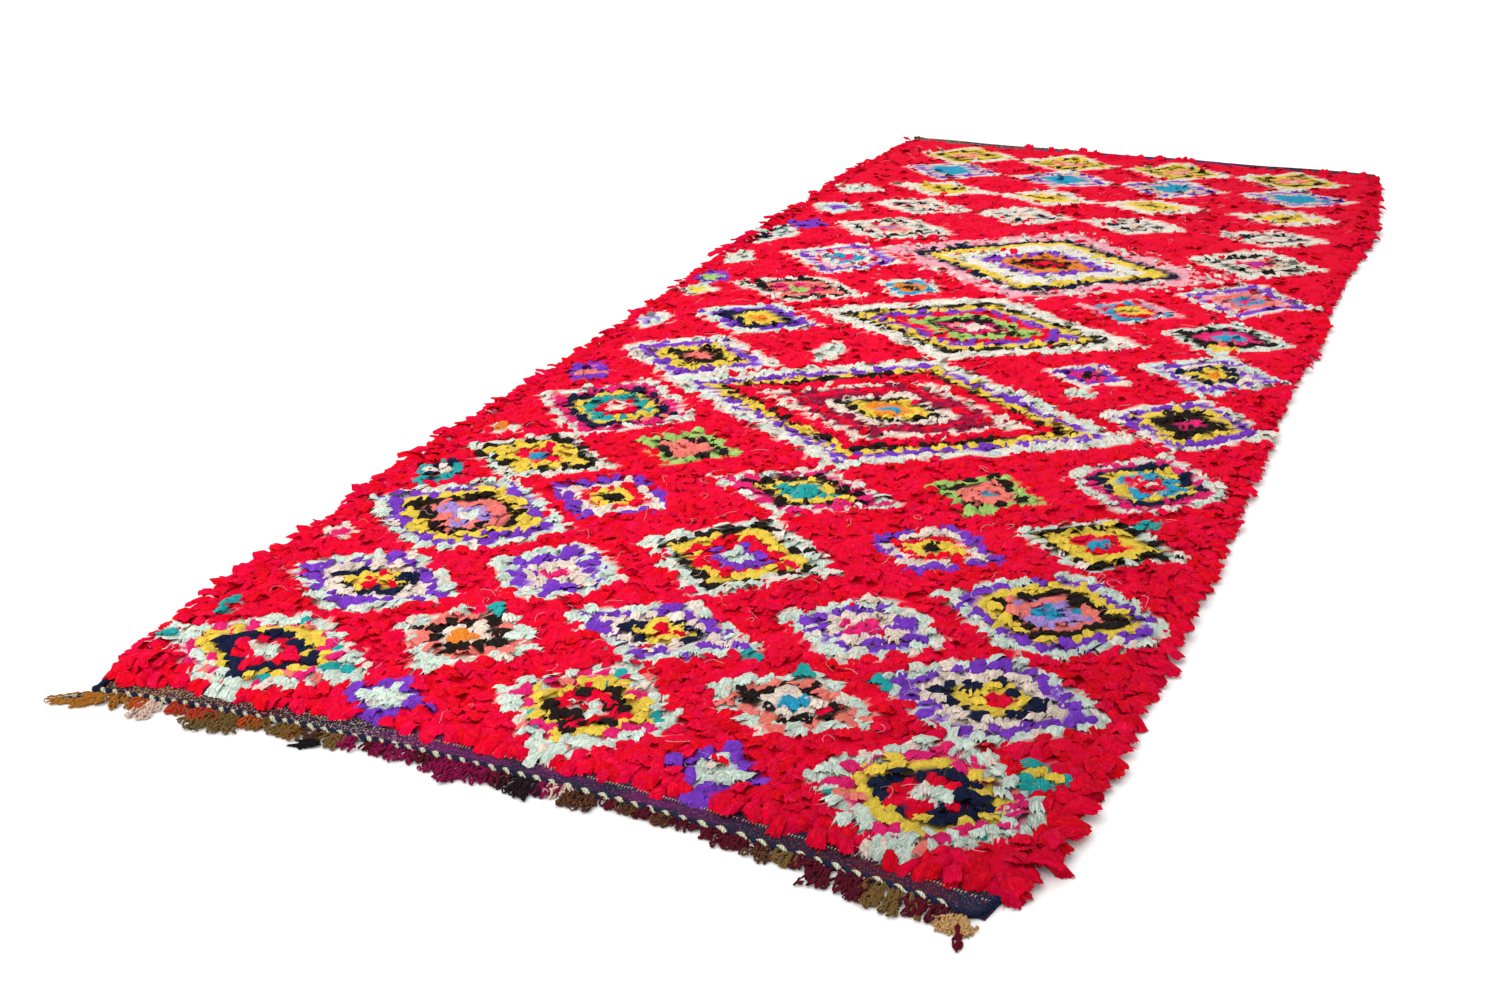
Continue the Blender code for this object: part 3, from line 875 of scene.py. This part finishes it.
# Shares of the dye kept in the painted shade of the folds, for pale rags and for dyed ones
PALE_PAINTED_SHADE = 0.36
DYED_PAINTED_SHADE = 0.6
SIDE_TURN = 1.15
SIDE_SHARE = 0.03
SCALLOP = 8 * MM
SCALLOP_PITCH = 0.032
SCALLOPS = 100
RAG_SLOTS = {
    "R": "rag_red", "M": "rag_mint", "C": "rag_cream", "P": "rag_purple", "Y": "rag_yellow", "K": "rag_dark",
    "N": "rag_dark", "H": "rag_pink", "S": "rag_salmon", "T": "rag_teal", "B": "rag_teal", "G": "rag_green",
    "A": "rag_maroon", "L": "rag_purple", "O": "rag_yellow", "E": "rag_cream", "W": "rag_cream",
    "Z": "rag_salmon",
}

# Rags that stand among the charted ones: the charted letter, the other rag, the share of the tufts that it
# takes, from and to, and the y that it ends before
STRAYS = (
    ("M", "C", 0.88, 1, math.inf),
    ("H", "S", 0, 0.08, math.inf),
    ("H", "M", 0.68, 1, 0.35),
    ("H", "T", 0.60, 1, 0.35),
    ("Z", "W", 0, 0.4, math.inf),
    ("Z", FIELD, 0.84, 1, math.inf),
)

# How far the rag ends reach out over each side of the ground, by distance from the near end, in millimetres
RIM_PLACES = (0.0, 0.1, 0.3, 0.5, 0.8, 1.0, 1.3, 1.5, 1.6, 1.8, 1.95, 2.1, 2.3, 2.45, 2.6, 2.8, 3.0, 3.1)
RIGHT_RIM = (20, 34, 28, 24, 30, 20, 18, 6, -6, 18, 18, -2, 2, 18, 34, 14, -4, -6)
FULL_RIM = 24
LEFT_RIM = (2, 12, 26, 10, 36, 24, 14, 12, 18, 16, 28, 34, 30, 16, 24, 18, 6, 0)
SIDES = ((0.0, -1, LEFT_RIM, 0.7, 1.2), (1.0, 1, RIGHT_RIM, 0.6, 1.12))
SIDE_INSETS = (4 * MM, 11 * MM)


class RUG_OT_pile(bpy.types.Operator):
    """Knot the pile: two torn rag ends at every knot, a piece for each colour of rag."""

    bl_idname = "rug.pile"
    bl_label = "Rag pile"

    def execute(self, context):
        props = context.scene.rug_sizes
        draw = np.random.default_rng(props.seed)
        root, angle, length, lift, droop = self.field(props, draw)
        side = self.sides(props, draw)
        root, angle, length, lift, droop = (
            np.concatenate(pair) for pair in zip((root, angle, length, lift, droop), side)
        )
        forward = arc(length, lift, droop, 0.72)[0]
        tip = root[:, :2] + forward[:, None] * np.stack([np.cos(angle), np.sin(angle)], -1)
        letters = charted_rags(tip[:, 0], tip[:, 1], draw, RINGS_MIXED)
        scattered = np.char.islower(letters) & (draw.random(len(letters)) > SCATTERED_SHARE)
        letters = np.where(scattered, FIELD, np.char.upper(letters))
        stray = draw.random(len(letters))
        undyed = np.interp(tip[:, 1], UNDYED_PLACES, UNDYED)
        letters = np.where((letters == "M") & (stray < undyed), "W", letters)
        for charted, other, low, high, before in STRAYS:
            chosen = (letters == charted) & (stray > low) & (stray < high) & (tip[:, 1] < before)
            letters = np.where(chosen, other, letters)
        broken = draw.random(len(letters)) < np.interp(tip[:, 1], BROKEN_PLACES, BROKEN)
        letters = np.where(broken & np.isin(letters, list(BROKEN_RAGS)), FIELD, letters)
        pale = np.isin(letters, list(PALE))
        tooth = props.tooth * np.where(pale, 2.0, 1.0)
        rags = context.scene.rug_rags
        for letter in sorted(set(letters)):
            name = RAG_LETTERS[letter]
            # Painted shade of the folds: a darker copy of the dye
            painted_shade = PALE_PAINTED_SHADE if letter in PALE else DYED_PAINTED_SHADE
            material = rag_finish(f"{name}_rag", getattr(rags, name), painted_shade)
            bands = np.array_split(np.flatnonzero(letters == letter), RED_PIECES if letter == FIELD else 1)
            for place, band in enumerate(bands):
                made = rag_ends(root[band], angle[band], length[band], lift[band], droop[band], draw, props,
                                tooth[band])
                make_piece(f"{name}_rags_{place + 1}", *made[:2], material, made[2], RAG_SLOTS[letter])
        return {"FINISHED"}

    def field(self, props, draw):
        """Roots, headings, lengths and bends of the rag ends over the ground. Some of those in the last
        rows fall back over the far band."""
        row, column, hand = np.meshgrid(
            np.arange(props.rows), np.arange(props.columns), (-1, 1), indexing="ij"
        )
        count = row.size
        offset = 0.25 * (-1.0) ** row + 0.24 * hand + draw.normal(0, 0.07, row.shape)
        across = np.clip((column + 0.5 + offset) / props.columns, 0.004, 0.996).ravel()
        along = ((row + 0.5 + draw.normal(0, 0.2, row.shape)) / props.rows).ravel()
        y = blend(line_y(NEAR_PILE, across) + NEAR_ROOTS, line_y(FAR_PILE, across) + FAR_ROOTS, along)
        x = side_x(across, y)
        to_left = np.clip((SIDE_SHARE - across) / SIDE_SHARE, 0, 1)
        to_right = np.clip((across - 1 + SIDE_SHARE) / SIDE_SHARE, 0, 1)
        lean = draw.normal(0, 0.26, count) + hand.ravel() * 0.12
        to_left = to_left * np.interp(y, RIM_PLACES, LEFT_RIM) / FULL_RIM
        to_right = to_right * np.interp(y, RIM_PLACES, RIGHT_RIM) / FULL_RIM
        angle = NEAR_HEADING + lean + (to_right * 0.6 - to_left * 0.3) * SIDE_TURN
        swell = lumps(x, y) / (20 * MM)
        length = props.rag_long * draw.uniform(0.86, 1.12, count) * (1 + swell)
        lift = np.radians(draw.uniform(44, 68, count))
        droop = -np.radians(blend(16, 30, along) + draw.uniform(0, 38, count))
        standing = draw.random(count) < blend(STANDING_NEAR, STANDING_FAR, along)
        angle = np.where(standing, angle + draw.normal(0, 0.9, count), angle)
        lift = np.where(standing, np.radians(draw.uniform(62, 80, count)), lift)
        droop = np.where(standing, np.radians(draw.uniform(-24, 16, count)), droop)
        length = np.where(standing, length * 0.68, length)
        last = draw.random(count) < np.interp(across, FAR_TUFT_PLACES, FAR_TUFT_SHARES)
        over = last & (row.ravel() >= props.rows - FAR_ROWS_OVER)
        angle = np.where(over, -NEAR_HEADING + lean, angle)
        lift = np.where(over, np.radians(draw.uniform(58, 82, count)), lift)
        droop = np.where(over, np.radians(draw.uniform(-30, 10, count)), droop)
        length = np.where(over, length * 0.75, length)
        hanging = row.ravel() < NEAR_ROWS_HANGING
        droop = np.where(hanging, -np.radians(draw.uniform(48, 82, count)), droop)
        root = np.stack([x, y, np.full(count, ROOT_HIGH)], -1)
        return root, angle, length, lift, droop

    def sides(self, props, draw):
        """The same for the rag ends that hang out over the two sides."""
        roots, angles, lengths, lifts, droops = [], [], [], [], []
        for share, turn, rim, low, high in SIDES:
            for inset in SIDE_INSETS:
                count = props.rows
                along = (np.arange(count) + draw.uniform(0, 1, count)) / count
                y = blend(line_y(NEAR_PILE, share) + 8 * MM, line_y(FAR_PILE, share) - 12 * MM, along)
                x = side_x(share, y) - turn * inset
                reach = np.interp(y, RIM_PLACES, rim) * MM * draw.uniform(low, high, count) + inset
                scallops = draw.uniform(-1, 1, SCALLOPS)
                reach += SCALLOP * np.interp(y, np.arange(0, 3.2, SCALLOP_PITCH), scallops)
                lift = np.radians(draw.uniform(50, 72, count))
                droop = -np.radians(draw.uniform(15, 70, count))
                roots.append(np.stack([x, y, np.full(count, ROOT_HIGH)], -1))
                angles.append(NEAR_HEADING + turn * SIDE_TURN + draw.normal(0, 0.3, count))
                lengths.append(np.maximum(reach, 10 * MM) / arc(1.0, lift, droop, 1.0)[0])
                lifts.append(lift)
                droops.append(droop)
        return [np.concatenate(values) for values in (roots, angles, lengths, lifts, droops)]


BED_HIGH = 10.5 * MM
BED_HIGH_FAR = 14.8 * MM
BED_CRUMPLE = 1.3 * MM
BED_ROWS = 230
BED_COLUMNS = 80


class RUG_OT_bed(bpy.types.Operator):
    """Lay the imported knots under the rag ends, in the same colours and in shade."""

    bl_idname = "rug.bed"
    bl_label = "Knot bed"

    def execute(self, context):
        rags = context.scene.rug_rags
        u, w = np.meshgrid(np.linspace(0, 1, BED_COLUMNS + 1), np.linspace(0, 1, BED_ROWS + 1))
        y = blend(line_y(NEAR_PILE, u) + 7 * MM, line_y(FAR_PILE, u) + FAR_ROOTS - 2 * MM, w)
        x = side_x(u, y)
        draw = np.random.default_rng(context.scene.rug_sizes.seed + 3)
        letters = charted_rags(x, y, draw, 0.0)
        letters = np.where(np.char.islower(letters), FIELD, letters)
        colours = np.array([[*getattr(rags, RAG_LETTERS[letter])] for letter in letters.ravel()])
        # Painted shade towards the right side and darkening towards the far end, as on the rag ends
        colours *= 1 - TONE_AND_SHADE_DARKENS * painted_shade_and_far_dimming(x, y).reshape(-1, 1)
        rim = (u == 0) | (u == 1) | (w == 0) | (w == 1)
        slope = np.minimum(np.minimum(u, 1 - u) * BED_COLUMNS / 2, w * BED_ROWS / 6)
        high = (blend(BED_HIGH, BED_HIGH_FAR, w) + lumps(x, y) * 0.8) * np.minimum(0.55 + 0.45 * slope, 1)
        z = np.where(rim, GROUND_TOP, high + draw.normal(0, BED_CRUMPLE, x.shape))
        points = np.stack([x, y, z], -1).reshape(-1, 3)

        def fill(wire):
            packed = mark(wire, "dye")
            place = wire.add("ShaderNodeTexCoord").outputs["Object"]
            crumple = wire.grain(place, 170.0, 3.0, (1, 1, 1), 0.6)
            # Painted shade: the crumple valleys of the bed are darkened towards black
            painted_shade = wire.mix(0.2, packed, (0.0, 0.0, 0.0, 1))
            colour = wire.mix(wire.band(crumple, 0.42, 0.58), painted_shade, packed)
            return colour, wire.maths("ADD", wire.maths("MULTIPLY", crumple, 0.1), 0.82), crumple, 2.0 * MM

        material = finish("knot_bed", fill)
        bed = make_piece("knot_bed", points, [grid_faces(1, BED_ROWS + 1, BED_COLUMNS + 1)], material,
                         {"dye": colours}, "rag_red")
        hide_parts("pile_field")
        return {"FINISHED"}


STRAY_STEPS = 13
STRAY_RADIUS = 0.38 * MM
STRAY_HIGH = 15 * MM
STRAY_SECOND = (1, 0.75, 0.75, 1)


class RUG_OT_threads(bpy.types.Operator):
    """Strew loose threads of the torn edges over the pile."""

    bl_idname = "rug.threads"
    bl_label = "Stray threads"

    def execute(self, context):
        props = context.scene.rug_sizes
        draw = np.random.default_rng(props.seed + 4)
        count, steps = props.stray_threads, STRAY_STEPS
        across, along = draw.uniform(0.03, 0.97, count), draw.uniform(0.01, 0.98, count)
        y = blend(line_y(NEAR_PILE, across), line_y(FAR_PILE, across), along)
        x = side_x(across, y)
        angle = draw.uniform(0, 2 * math.pi, (count, 1))
        angle = angle + np.cumsum(draw.normal(0, 0.42, (count, steps)), axis=1)
        angle += np.linspace(0, 1, steps) * draw.normal(0, 2.2, (count, 1))
        stride = draw.uniform(1.4, 3.8, (count, 1)) * MM
        paths = np.zeros((count, steps, 3))
        paths[..., 0] = x[:, None] + np.cumsum(np.cos(angle) * stride, axis=1)
        paths[..., 1] = y[:, None] + np.cumsum(np.sin(angle) * stride, axis=1)
        crest = STRAY_HIGH + lumps(x, y)[:, None]
        wave = np.sin(np.linspace(0, math.pi, steps) + draw.uniform(-0.4, 0.4, (count, 1)))
        paths[..., 2] = crest + wave * draw.uniform(2.0, 6.0, (count, 1)) * MM
        material = wool_finish("stray_thread", context.scene.rug_rags.thread, STRAY_SECOND, 2000.0)
        yarn_piece("stray_threads", paths, np.full((count, steps), STRAY_RADIUS), 3, material, "rag_cream")
        return {"FINISHED"}


# Near rim

TWINE_TURN_LEFT = 18 * MM
TWINE_TURN_RIGHT = 25 * MM
TWINE_STEPS_A_TURN = 12
TWINE_ENDS = 0.972
CORNER_TURNS = 17
CORNER_STEPS_A_TURN = 10
CORNER_RUN = (0.0, 0.38, 0.62, 1.0)
CORNER_ROLL = 3.2 * MM
STRAND_RADIUS = 3.6 * MM
STRAND_SET = 2.9 * MM
TWINE_SQUASH = 0.66
LOOPS = 290
LOOP_PLACES = (0, 0.3, 0.45, 1)
LOOP_SHARES = (0.6, 0.35, 0.75, 0.95)
LOOP_STEPS = 5
LOOP_RADIUS = 0.75 * MM
CORNER_RADIUS = 1.9 * MM
CORNER_HIGH = 5.5 * MM
CORNER_SIDES = ((0.0, 1, 6 * MM), (1.0, -1, 34 * MM))


class RUG_OT_twining(bpy.types.Operator):
    """Twine a navy and a mint strand over the warp ends along the near rim."""

    bl_idname = "rug.twining"
    bl_label = "Twined border"

    def execute(self, context):
        wools = context.scene.rug_wools
        draw = np.random.default_rng(context.scene.rug_sizes.seed + 5)
        steps = int(END_WIDTH / TWINE_TURN_LEFT * TWINE_STEPS_A_TURN)
        share = np.linspace(0.002, TWINE_ENDS, steps)
        length = blend(TWINE_TURN_LEFT, TWINE_TURN_RIGHT, share)
        length = length * np.interp(share, np.linspace(0, 1, 30), draw.uniform(0.85, 1.15, 30))
        twine = np.cumsum(END_WIDTH / steps / length) * 2 * math.pi
        middle_y = line_y(NEAR_RIM, share) + BORDER_WIDTH / 2
        middle_x = side_x(share, middle_y)
        wander = np.interp(share, np.linspace(0, 1, 40), draw.normal(0, 0.5 * MM, 40))
        high = (STRAND_RADIUS + STRAND_SET) * TWINE_SQUASH
        for place, (name, second) in enumerate((("navy", "black"), ("mint", "warp"))):
            turn = twine + math.pi * place
            path = np.stack([
                middle_x,
                middle_y + wander + STRAND_SET * np.cos(turn),
                high + STRAND_SET * np.sin(turn) * TWINE_SQUASH,
            ], -1)[None]
            plump = np.interp(share, np.linspace(0, 1, 90), draw.uniform(0.64, 1.08, 90))
            plump = plump * (1 - 0.16 * place) * (0.82 + 0.3 * np.maximum(np.sin(turn), 0))
            radii = (STRAND_RADIUS * plump)[None]
            points, faces, cloth = tubes(path, radii, 8)
            points[:, 2] = high + (points[:, 2] - high) * 0.8
            points[:, 2] = np.maximum(points[:, 2], 0.15 * MM)
            second_colour = (*getattr(wools, second), 1)
            material = wool_finish(f"{name}_twining", getattr(wools, name), second_colour, 700.0)
            strand = make_piece(f"twined_{name}", points, faces, material, {"cloth": cloth}, "twined_yarn")
            if place == 0:
                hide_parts("twined_border_near")
        self.warp_line(context, draw)
        self.corners(context, draw)
        return {"FINISHED"}

    def warp_line(self, context, draw):
        """Small cream warp loops, left bare where the pile ends."""
        share = (np.arange(LOOPS) + 0.5) / LOOPS
        share = share[draw.random(LOOPS) < np.interp(share, LOOP_PLACES, LOOP_SHARES)]
        y = line_y(NEAR_PILE, share) - 7.5 * MM + draw.normal(0, 0.4 * MM, len(share))
        x = side_x(share, y)
        run = np.linspace(-1, 1, LOOP_STEPS)
        paths = np.zeros((len(share), LOOP_STEPS, 3))
        paths[..., 0] = x[:, None] + run * 0.7 * MM
        paths[..., 1] = y[:, None] + run * 1.3 * MM
        paths[..., 2] = GROUND_TOP + 1.4 * MM * (1 - run**2)
        wools = context.scene.rug_wools
        material = wool_finish("cream_warp", wools.warp, (*wools.boucle, 1), 900.0)
        yarn_piece("warp_loops", paths, np.full(paths.shape[:2], LOOP_RADIUS), 4, material, "ground_wool")

    def corners(self, context, draw):
        """Navy wool wound into a roll round the ground's two near corners, from the rope to the pile."""
        steps = CORNER_TURNS * CORNER_STEPS_A_TURN
        run = np.linspace(0, 1, steps)
        turn = run * CORNER_TURNS * 2 * math.pi
        paths = []
        for share, inward, from_side in CORNER_SIDES:
            rim = line_y(NEAR_RIM, share)
            pile = line_y(NEAR_PILE, share)
            inset = np.interp(run, CORNER_RUN, (from_side, from_side * 0.45, 6 * MM, 3.5 * MM))
            y = np.interp(run, CORNER_RUN, (rim + 4 * MM, rim + 5 * MM, rim + 10 * MM, pile + 3 * MM))
            heading = np.arctan2(np.gradient(y), -inward * np.gradient(inset))
            aside = CORNER_ROLL * np.cos(turn)
            x = side_x(share, y) + inward * inset + aside * np.sin(heading)
            high = CORNER_HIGH + 3.0 * MM * np.sin(turn)
            paths.append(np.stack([x, y - aside * np.cos(heading), high], -1))
        radii = np.full((2, steps), CORNER_RADIUS) * draw.uniform(0.92, 1.08, (2, steps))
        wools = context.scene.rug_wools
        material = wool_finish("corner_wool", wools.navy, (*wools.black, 1), 900.0)
        yarn_piece("wound_corners", np.array(paths), radii, 6, material, "twined_yarn")


YARN_STEPS = 17
YARN_TURN = 13 * MM
TASSEL_TURN = 11 * MM
WOOL_TWIST = 1300.0
FRINGE_HOOK = 2.3
TASSEL_HOOK = 0.6
FRINGE_SECONDS = {"maroon": "dusk", "magenta": "dusk", "black": "dusk", "boucle": "warp"}


def loose_yarns(start, angle, reach, curl, turns, draw, radius, hook):
    """Paths and radii of curled wool ends that lie on the floor. start, angle, reach, curl, turns and
    radius are one value a strand. An end with a hook of pi / 2 stops square, and with more than that it
    curls back."""
    count = len(start)
    run = np.linspace(0, 1, YARN_STEPS)[None, :]
    phase = draw.uniform(0, 2 * math.pi, (count, 1))
    twist = phase + turns[:, None] * 2 * math.pi * run
    grow = np.minimum(run * 4, 1)
    travel = np.sin(run * hook) / math.sin(min(hook, math.pi / 2))
    out = travel * reach[:, None] + curl[:, None] * np.sin(twist) * grow
    aside = curl[:, None] * np.cos(twist * 0.83 + phase) * grow + draw.normal(0, 2 * MM, (count, 1)) * run
    paths = np.zeros((count, YARN_STEPS, 3))
    paths[..., 0] = start[:, :1] + out * np.cos(angle)[:, None] - aside * np.sin(angle)[:, None]
    paths[..., 1] = start[:, 1:2] + out * np.sin(angle)[:, None] + aside * np.cos(angle)[:, None]
    drop = start[:, 2:] * (1 - run) ** 1.5
    paths[..., 2] = drop + radius[:, None] + curl[:, None] * (0.6 + 0.6 * np.cos(twist * 1.17)) * grow
    bobble = draw.uniform(0.72, 1.28, (count, YARN_STEPS))
    radii = radius[:, None] * np.interp(run, (0, 0.9, 1), (1.0, 1.0, 0.5)) * bobble
    paths[..., 2] = np.maximum(paths[..., 2], radii)
    return paths, radii


class RUG_OT_fringe(bpy.types.Operator):
    """Lay the loose wool ends along the near rim, in clumps of their own colours."""

    bl_idname = "rug.fringe"
    bl_label = "Fringe"

    def execute(self, context):
        props = context.scene.rug_sizes
        wools = context.scene.rug_wools
        draw = np.random.default_rng(props.seed + 6)
        clumps = collections.defaultdict(list)
        begin = FRINGE_FROM
        for stretch in FRINGE:
            count = max(1, round((stretch.to - begin) * END_WIDTH / props.clump))
            for place in range(count):
                share = blend(begin, stretch.to, (place + draw.uniform(0.3, 0.7)) / count)
                name = stretch.wools[place % len(stretch.wools)]
                clumps[name].append((share, stretch.reach * draw.uniform(0.8, 1.08)))
            begin = stretch.to
        for place, (name, places) in enumerate(clumps.items()):
            piece = self.add_wool(name, places, wools, props, draw)
            if place == 0:
                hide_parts("fringe_near")
        return {"FINISHED"}

    def add_wool(self, name, places, wools, props, draw):
        share, clump_reach = (np.repeat(values, props.clump_strands) for values in zip(*places))
        count = len(share)
        share = np.clip(share + draw.normal(0, 0.0056, count), 0.018, 0.978)
        y = line_y(NEAR_RIM, share) + draw.uniform(-1, 5, count) * MM
        start = np.stack([side_x(share, y), y, draw.uniform(0.5, 4.5, count) * MM], -1)
        angle = NEAR_HEADING + draw.normal(0, 0.34, count)
        reach = clump_reach * np.sqrt(draw.uniform(0.08, 0.85, count))
        curl = draw.uniform(2.2, 4.6, count) * MM
        turns = reach / YARN_TURN * draw.uniform(0.7, 1.3, count)
        radius = props.yarn * draw.uniform(0.75, 1.25, count)
        ends = loose_yarns(start, angle, reach, curl, turns, draw, radius, FRINGE_HOOK)
        second = (*getattr(wools, FRINGE_SECONDS.get(name, "brown")), 1)
        material = wool_finish(f"{name}_wool", getattr(wools, name), second, WOOL_TWIST)
        return yarn_piece(f"fringe_{name}", *ends, 4, material, "fringe_wool")


# Bunches of wool at the corners: the solid they dress, the wool, where they start, their heading in degrees
# and how they fan out in radians, how far they reach, how many strands, how curled and how far apart they
# start
Bunch = collections.namedtuple("Bunch", "node wool x y angle fan reach strands curl apart")
TASSELS = (
    Bunch("tassel_near_left", "gold", 0.014, -0.018, -150, 0.08, 66 * MM, 34, 2.0 * MM, 7 * MM),
    Bunch("tassel_near_left", "mint", -0.004, -0.026, -152, 0.07, 46 * MM, 6, 1.0 * MM, 3 * MM),
    Bunch("tassel_near_left", "navy", -0.006, -0.028, -150, 0.07, 42 * MM, 4, 1.0 * MM, 3 * MM),
    Bunch("tassel_near_left", "gold", 0.020, -0.020, -136, 0.25, 38 * MM, 22, 2.4 * MM, 6 * MM),
    Bunch("tassel_near_right", "tan", 1.166, -0.044, -112, 0.42, 27 * MM, 34, 3.2 * MM, 4 * MM),
    Bunch("tassel_near_right", "tan", 1.174, -0.043, -66, 0.42, 25 * MM, 30, 3.2 * MM, 3 * MM),
    Bunch("fringe_near", "black", 0.345, -0.008, -158, 0.08, 36 * MM, 14, 0.9 * MM, 3 * MM),
    Bunch("tassel_near_right", "maroon", 1.173, -0.052, -78, 0.10, 46 * MM, 7, 2.0 * MM, 2 * MM),
    Bunch("tail_far_left", "brown", 0.006, 3.178, 112, 0.22, 36 * MM, 14, 2.0 * MM, 3 * MM),
    Bunch("tail_far_left", "black", 0.006, 3.178, 120, 0.30, 30 * MM, 10, 2.0 * MM, 3 * MM),
)


class RUG_OT_tassels(bpy.types.Operator):
    """Bunch the wool ends at the corners."""

    bl_idname = "rug.tassels"
    bl_label = "Corner tassels"

    def execute(self, context):
        wools = context.scene.rug_wools
        props = context.scene.rug_sizes
        draw = np.random.default_rng(props.seed + 8)
        dressed = {"fringe_near"}
        for place, row in enumerate(TASSELS):
            count = row.strands
            start = np.zeros((count, 3))
            start[:, 0] = row.x + draw.normal(0, row.apart, count)
            start[:, 1] = row.y + draw.normal(0, row.apart / 2, count)
            start[:, 2] = draw.uniform(0.5, 6, count) * MM
            angle = math.radians(row.angle) + draw.normal(0, row.fan, count)
            reach = row.reach * draw.uniform(0.5, 1.0, count)
            curl = row.curl * draw.uniform(0.4, 1.2, count)
            turns = reach / TASSEL_TURN * draw.uniform(0.6, 1.2, count)
            radius = props.yarn * draw.uniform(0.6, 1.1, count)
            ends = loose_yarns(start, angle, reach, curl, turns, draw, radius, TASSEL_HOOK)
            colour = getattr(wools, row.wool)
            name = f"{row.node}_{place + 1}"
            material = wool_finish(name, colour, shaded(colour, 0.55), WOOL_TWIST)
            piece = yarn_piece(name, *ends, 5, material, "tassel_wool")
            if row.node not in dressed:
                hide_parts(row.node)
                dressed.add(row.node)
        return {"FINISHED"}


# Stage

CAMERA_PLACE = (1.627, -1.535, 1.179)
CAMERA_FORWARD = (-0.37862, 0.82930, -0.41098)
CAMERA_RIGHT = (0.91374, 0.40564, -0.02327)
CAMERA_LENS = 44.27
SENSOR = 36.0
SUN_HEADING = (0.2, 0.45, -1.0)
SUN_ENERGY = 0.8
SUN_ANGLE = 1.0
STUDIO_LEFT = 1.4
STUDIO_RIGHT = 0.82
FLOOR_SIZE = 60
FLOOR_COLOUR = (0.92, 0.92, 0.915, 1)
FLOOR_ROUGH = 0.9


class RUG_OT_stage(bpy.types.Operator):
    """Set the pale floor, the soft light and the camera."""

    bl_idname = "rug.stage"
    bl_label = "Stage"

    def execute(self, context):
        scene = context.scene
        self.floor()
        self.light()
        camera = bpy.data.objects.new("camera", bpy.data.cameras.new("camera"))
        camera.data.lens = CAMERA_LENS
        camera.data.sensor_width = SENSOR
        forward = Vector(CAMERA_FORWARD).normalized()
        right = Vector(CAMERA_RIGHT).normalized()
        up = right.cross(forward).normalized()
        turn = Matrix((right, up, -forward)).transposed()
        camera.matrix_world = Matrix.Translation(Vector(CAMERA_PLACE) + Vector(SHIFT)) @ turn.to_4x4()
        scene.collection.objects.link(camera)
        scene.camera = camera
        scene.view_settings.view_transform = "Standard"
        return {"FINISHED"}

    def floor(self):
        bpy.ops.mesh.primitive_plane_add(size=FLOOR_SIZE, location=(0, 0, 0))
        floor = bpy.context.object
        floor.name = "floor"
        material = bpy.data.materials.new("pale_floor")
        material.use_nodes = True
        shader = material.node_tree.nodes["Principled BSDF"]
        shader.inputs["Base Color"].default_value = FLOOR_COLOUR
        shader.inputs["Roughness"].default_value = FLOOR_ROUGH
        floor.data.materials.append(material)

    def light(self):
        world = bpy.data.worlds.new("studio")
        world.use_nodes = True
        wire = Wiring(world.node_tree.nodes, world.node_tree.links)
        heading = wire.add("ShaderNodeTexCoord").outputs["Generated"]
        axes = wire.add("ShaderNodeSeparateXYZ", {0: heading}).outputs
        settings = {"Value": axes[0], "From Min": -1.0, "To Min": STUDIO_LEFT, "To Max": STUDIO_RIGHT}
        strength = wire.add("ShaderNodeMapRange", settings).outputs[0]
        background = world.node_tree.nodes["Background"]
        background.inputs[0].default_value = (1, 1, 1, 1)
        world.node_tree.links.new(strength, background.inputs[1])
        bpy.context.scene.world = world
        lamp = bpy.data.lights.new("soft_sun", "SUN")
        lamp.energy = SUN_ENERGY
        lamp.angle = SUN_ANGLE
        holder = bpy.data.objects.new("soft_sun", lamp)
        holder.rotation_euler = Vector(SUN_HEADING).to_track_quat("-Z", "Y").to_euler()
        bpy.context.scene.collection.objects.link(holder)


class RUG_PT_panel(bpy.types.Panel):
    """Lists the rug's pieces, sizes and colours."""

    bl_label = "Boucherouite Rug"
    bl_idname = "RUG_PT_panel"
    bl_space_type = "VIEW_3D"
    bl_region_type = "UI"
    bl_category = "Rug"

    def draw(self, context):
        layout = self.layout
        for operator in PIECES:
            layout.operator(operator.bl_idname)
        for group in (context.scene.rug_sizes, context.scene.rug_rags, context.scene.rug_wools):
            box = layout.box()
            for label in group.bl_rna.properties.keys():
                if label not in ("rna_type", "name"):
                    box.prop(group, label)


PIECES = (
    RUG_OT_stage,
    RUG_OT_ground,
    RUG_OT_bed,
    RUG_OT_pile,
    RUG_OT_threads,
    RUG_OT_twining,
    RUG_OT_fringe,
    RUG_OT_tassels,
)
CLASSES = (RUG_PG_rags, RUG_PG_wools, RUG_PG_sizes, *PIECES, RUG_PT_panel)


def register():
    for item in CLASSES:
        bpy.utils.register_class(item)
    bpy.types.Scene.rug_rags = PointerProperty(type=RUG_PG_rags)
    bpy.types.Scene.rug_wools = PointerProperty(type=RUG_PG_wools)
    bpy.types.Scene.rug_sizes = PointerProperty(type=RUG_PG_sizes)


def unregister():
    del bpy.types.Scene.rug_sizes
    del bpy.types.Scene.rug_wools
    del bpy.types.Scene.rug_rags
    for item in reversed(CLASSES):
        bpy.utils.unregister_class(item)


def main():
    register()
    for operator in PIECES:
        group, name = operator.bl_idname.split(".")
        getattr(getattr(bpy.ops, group), name)()


if __name__ == "__main__":
    main()
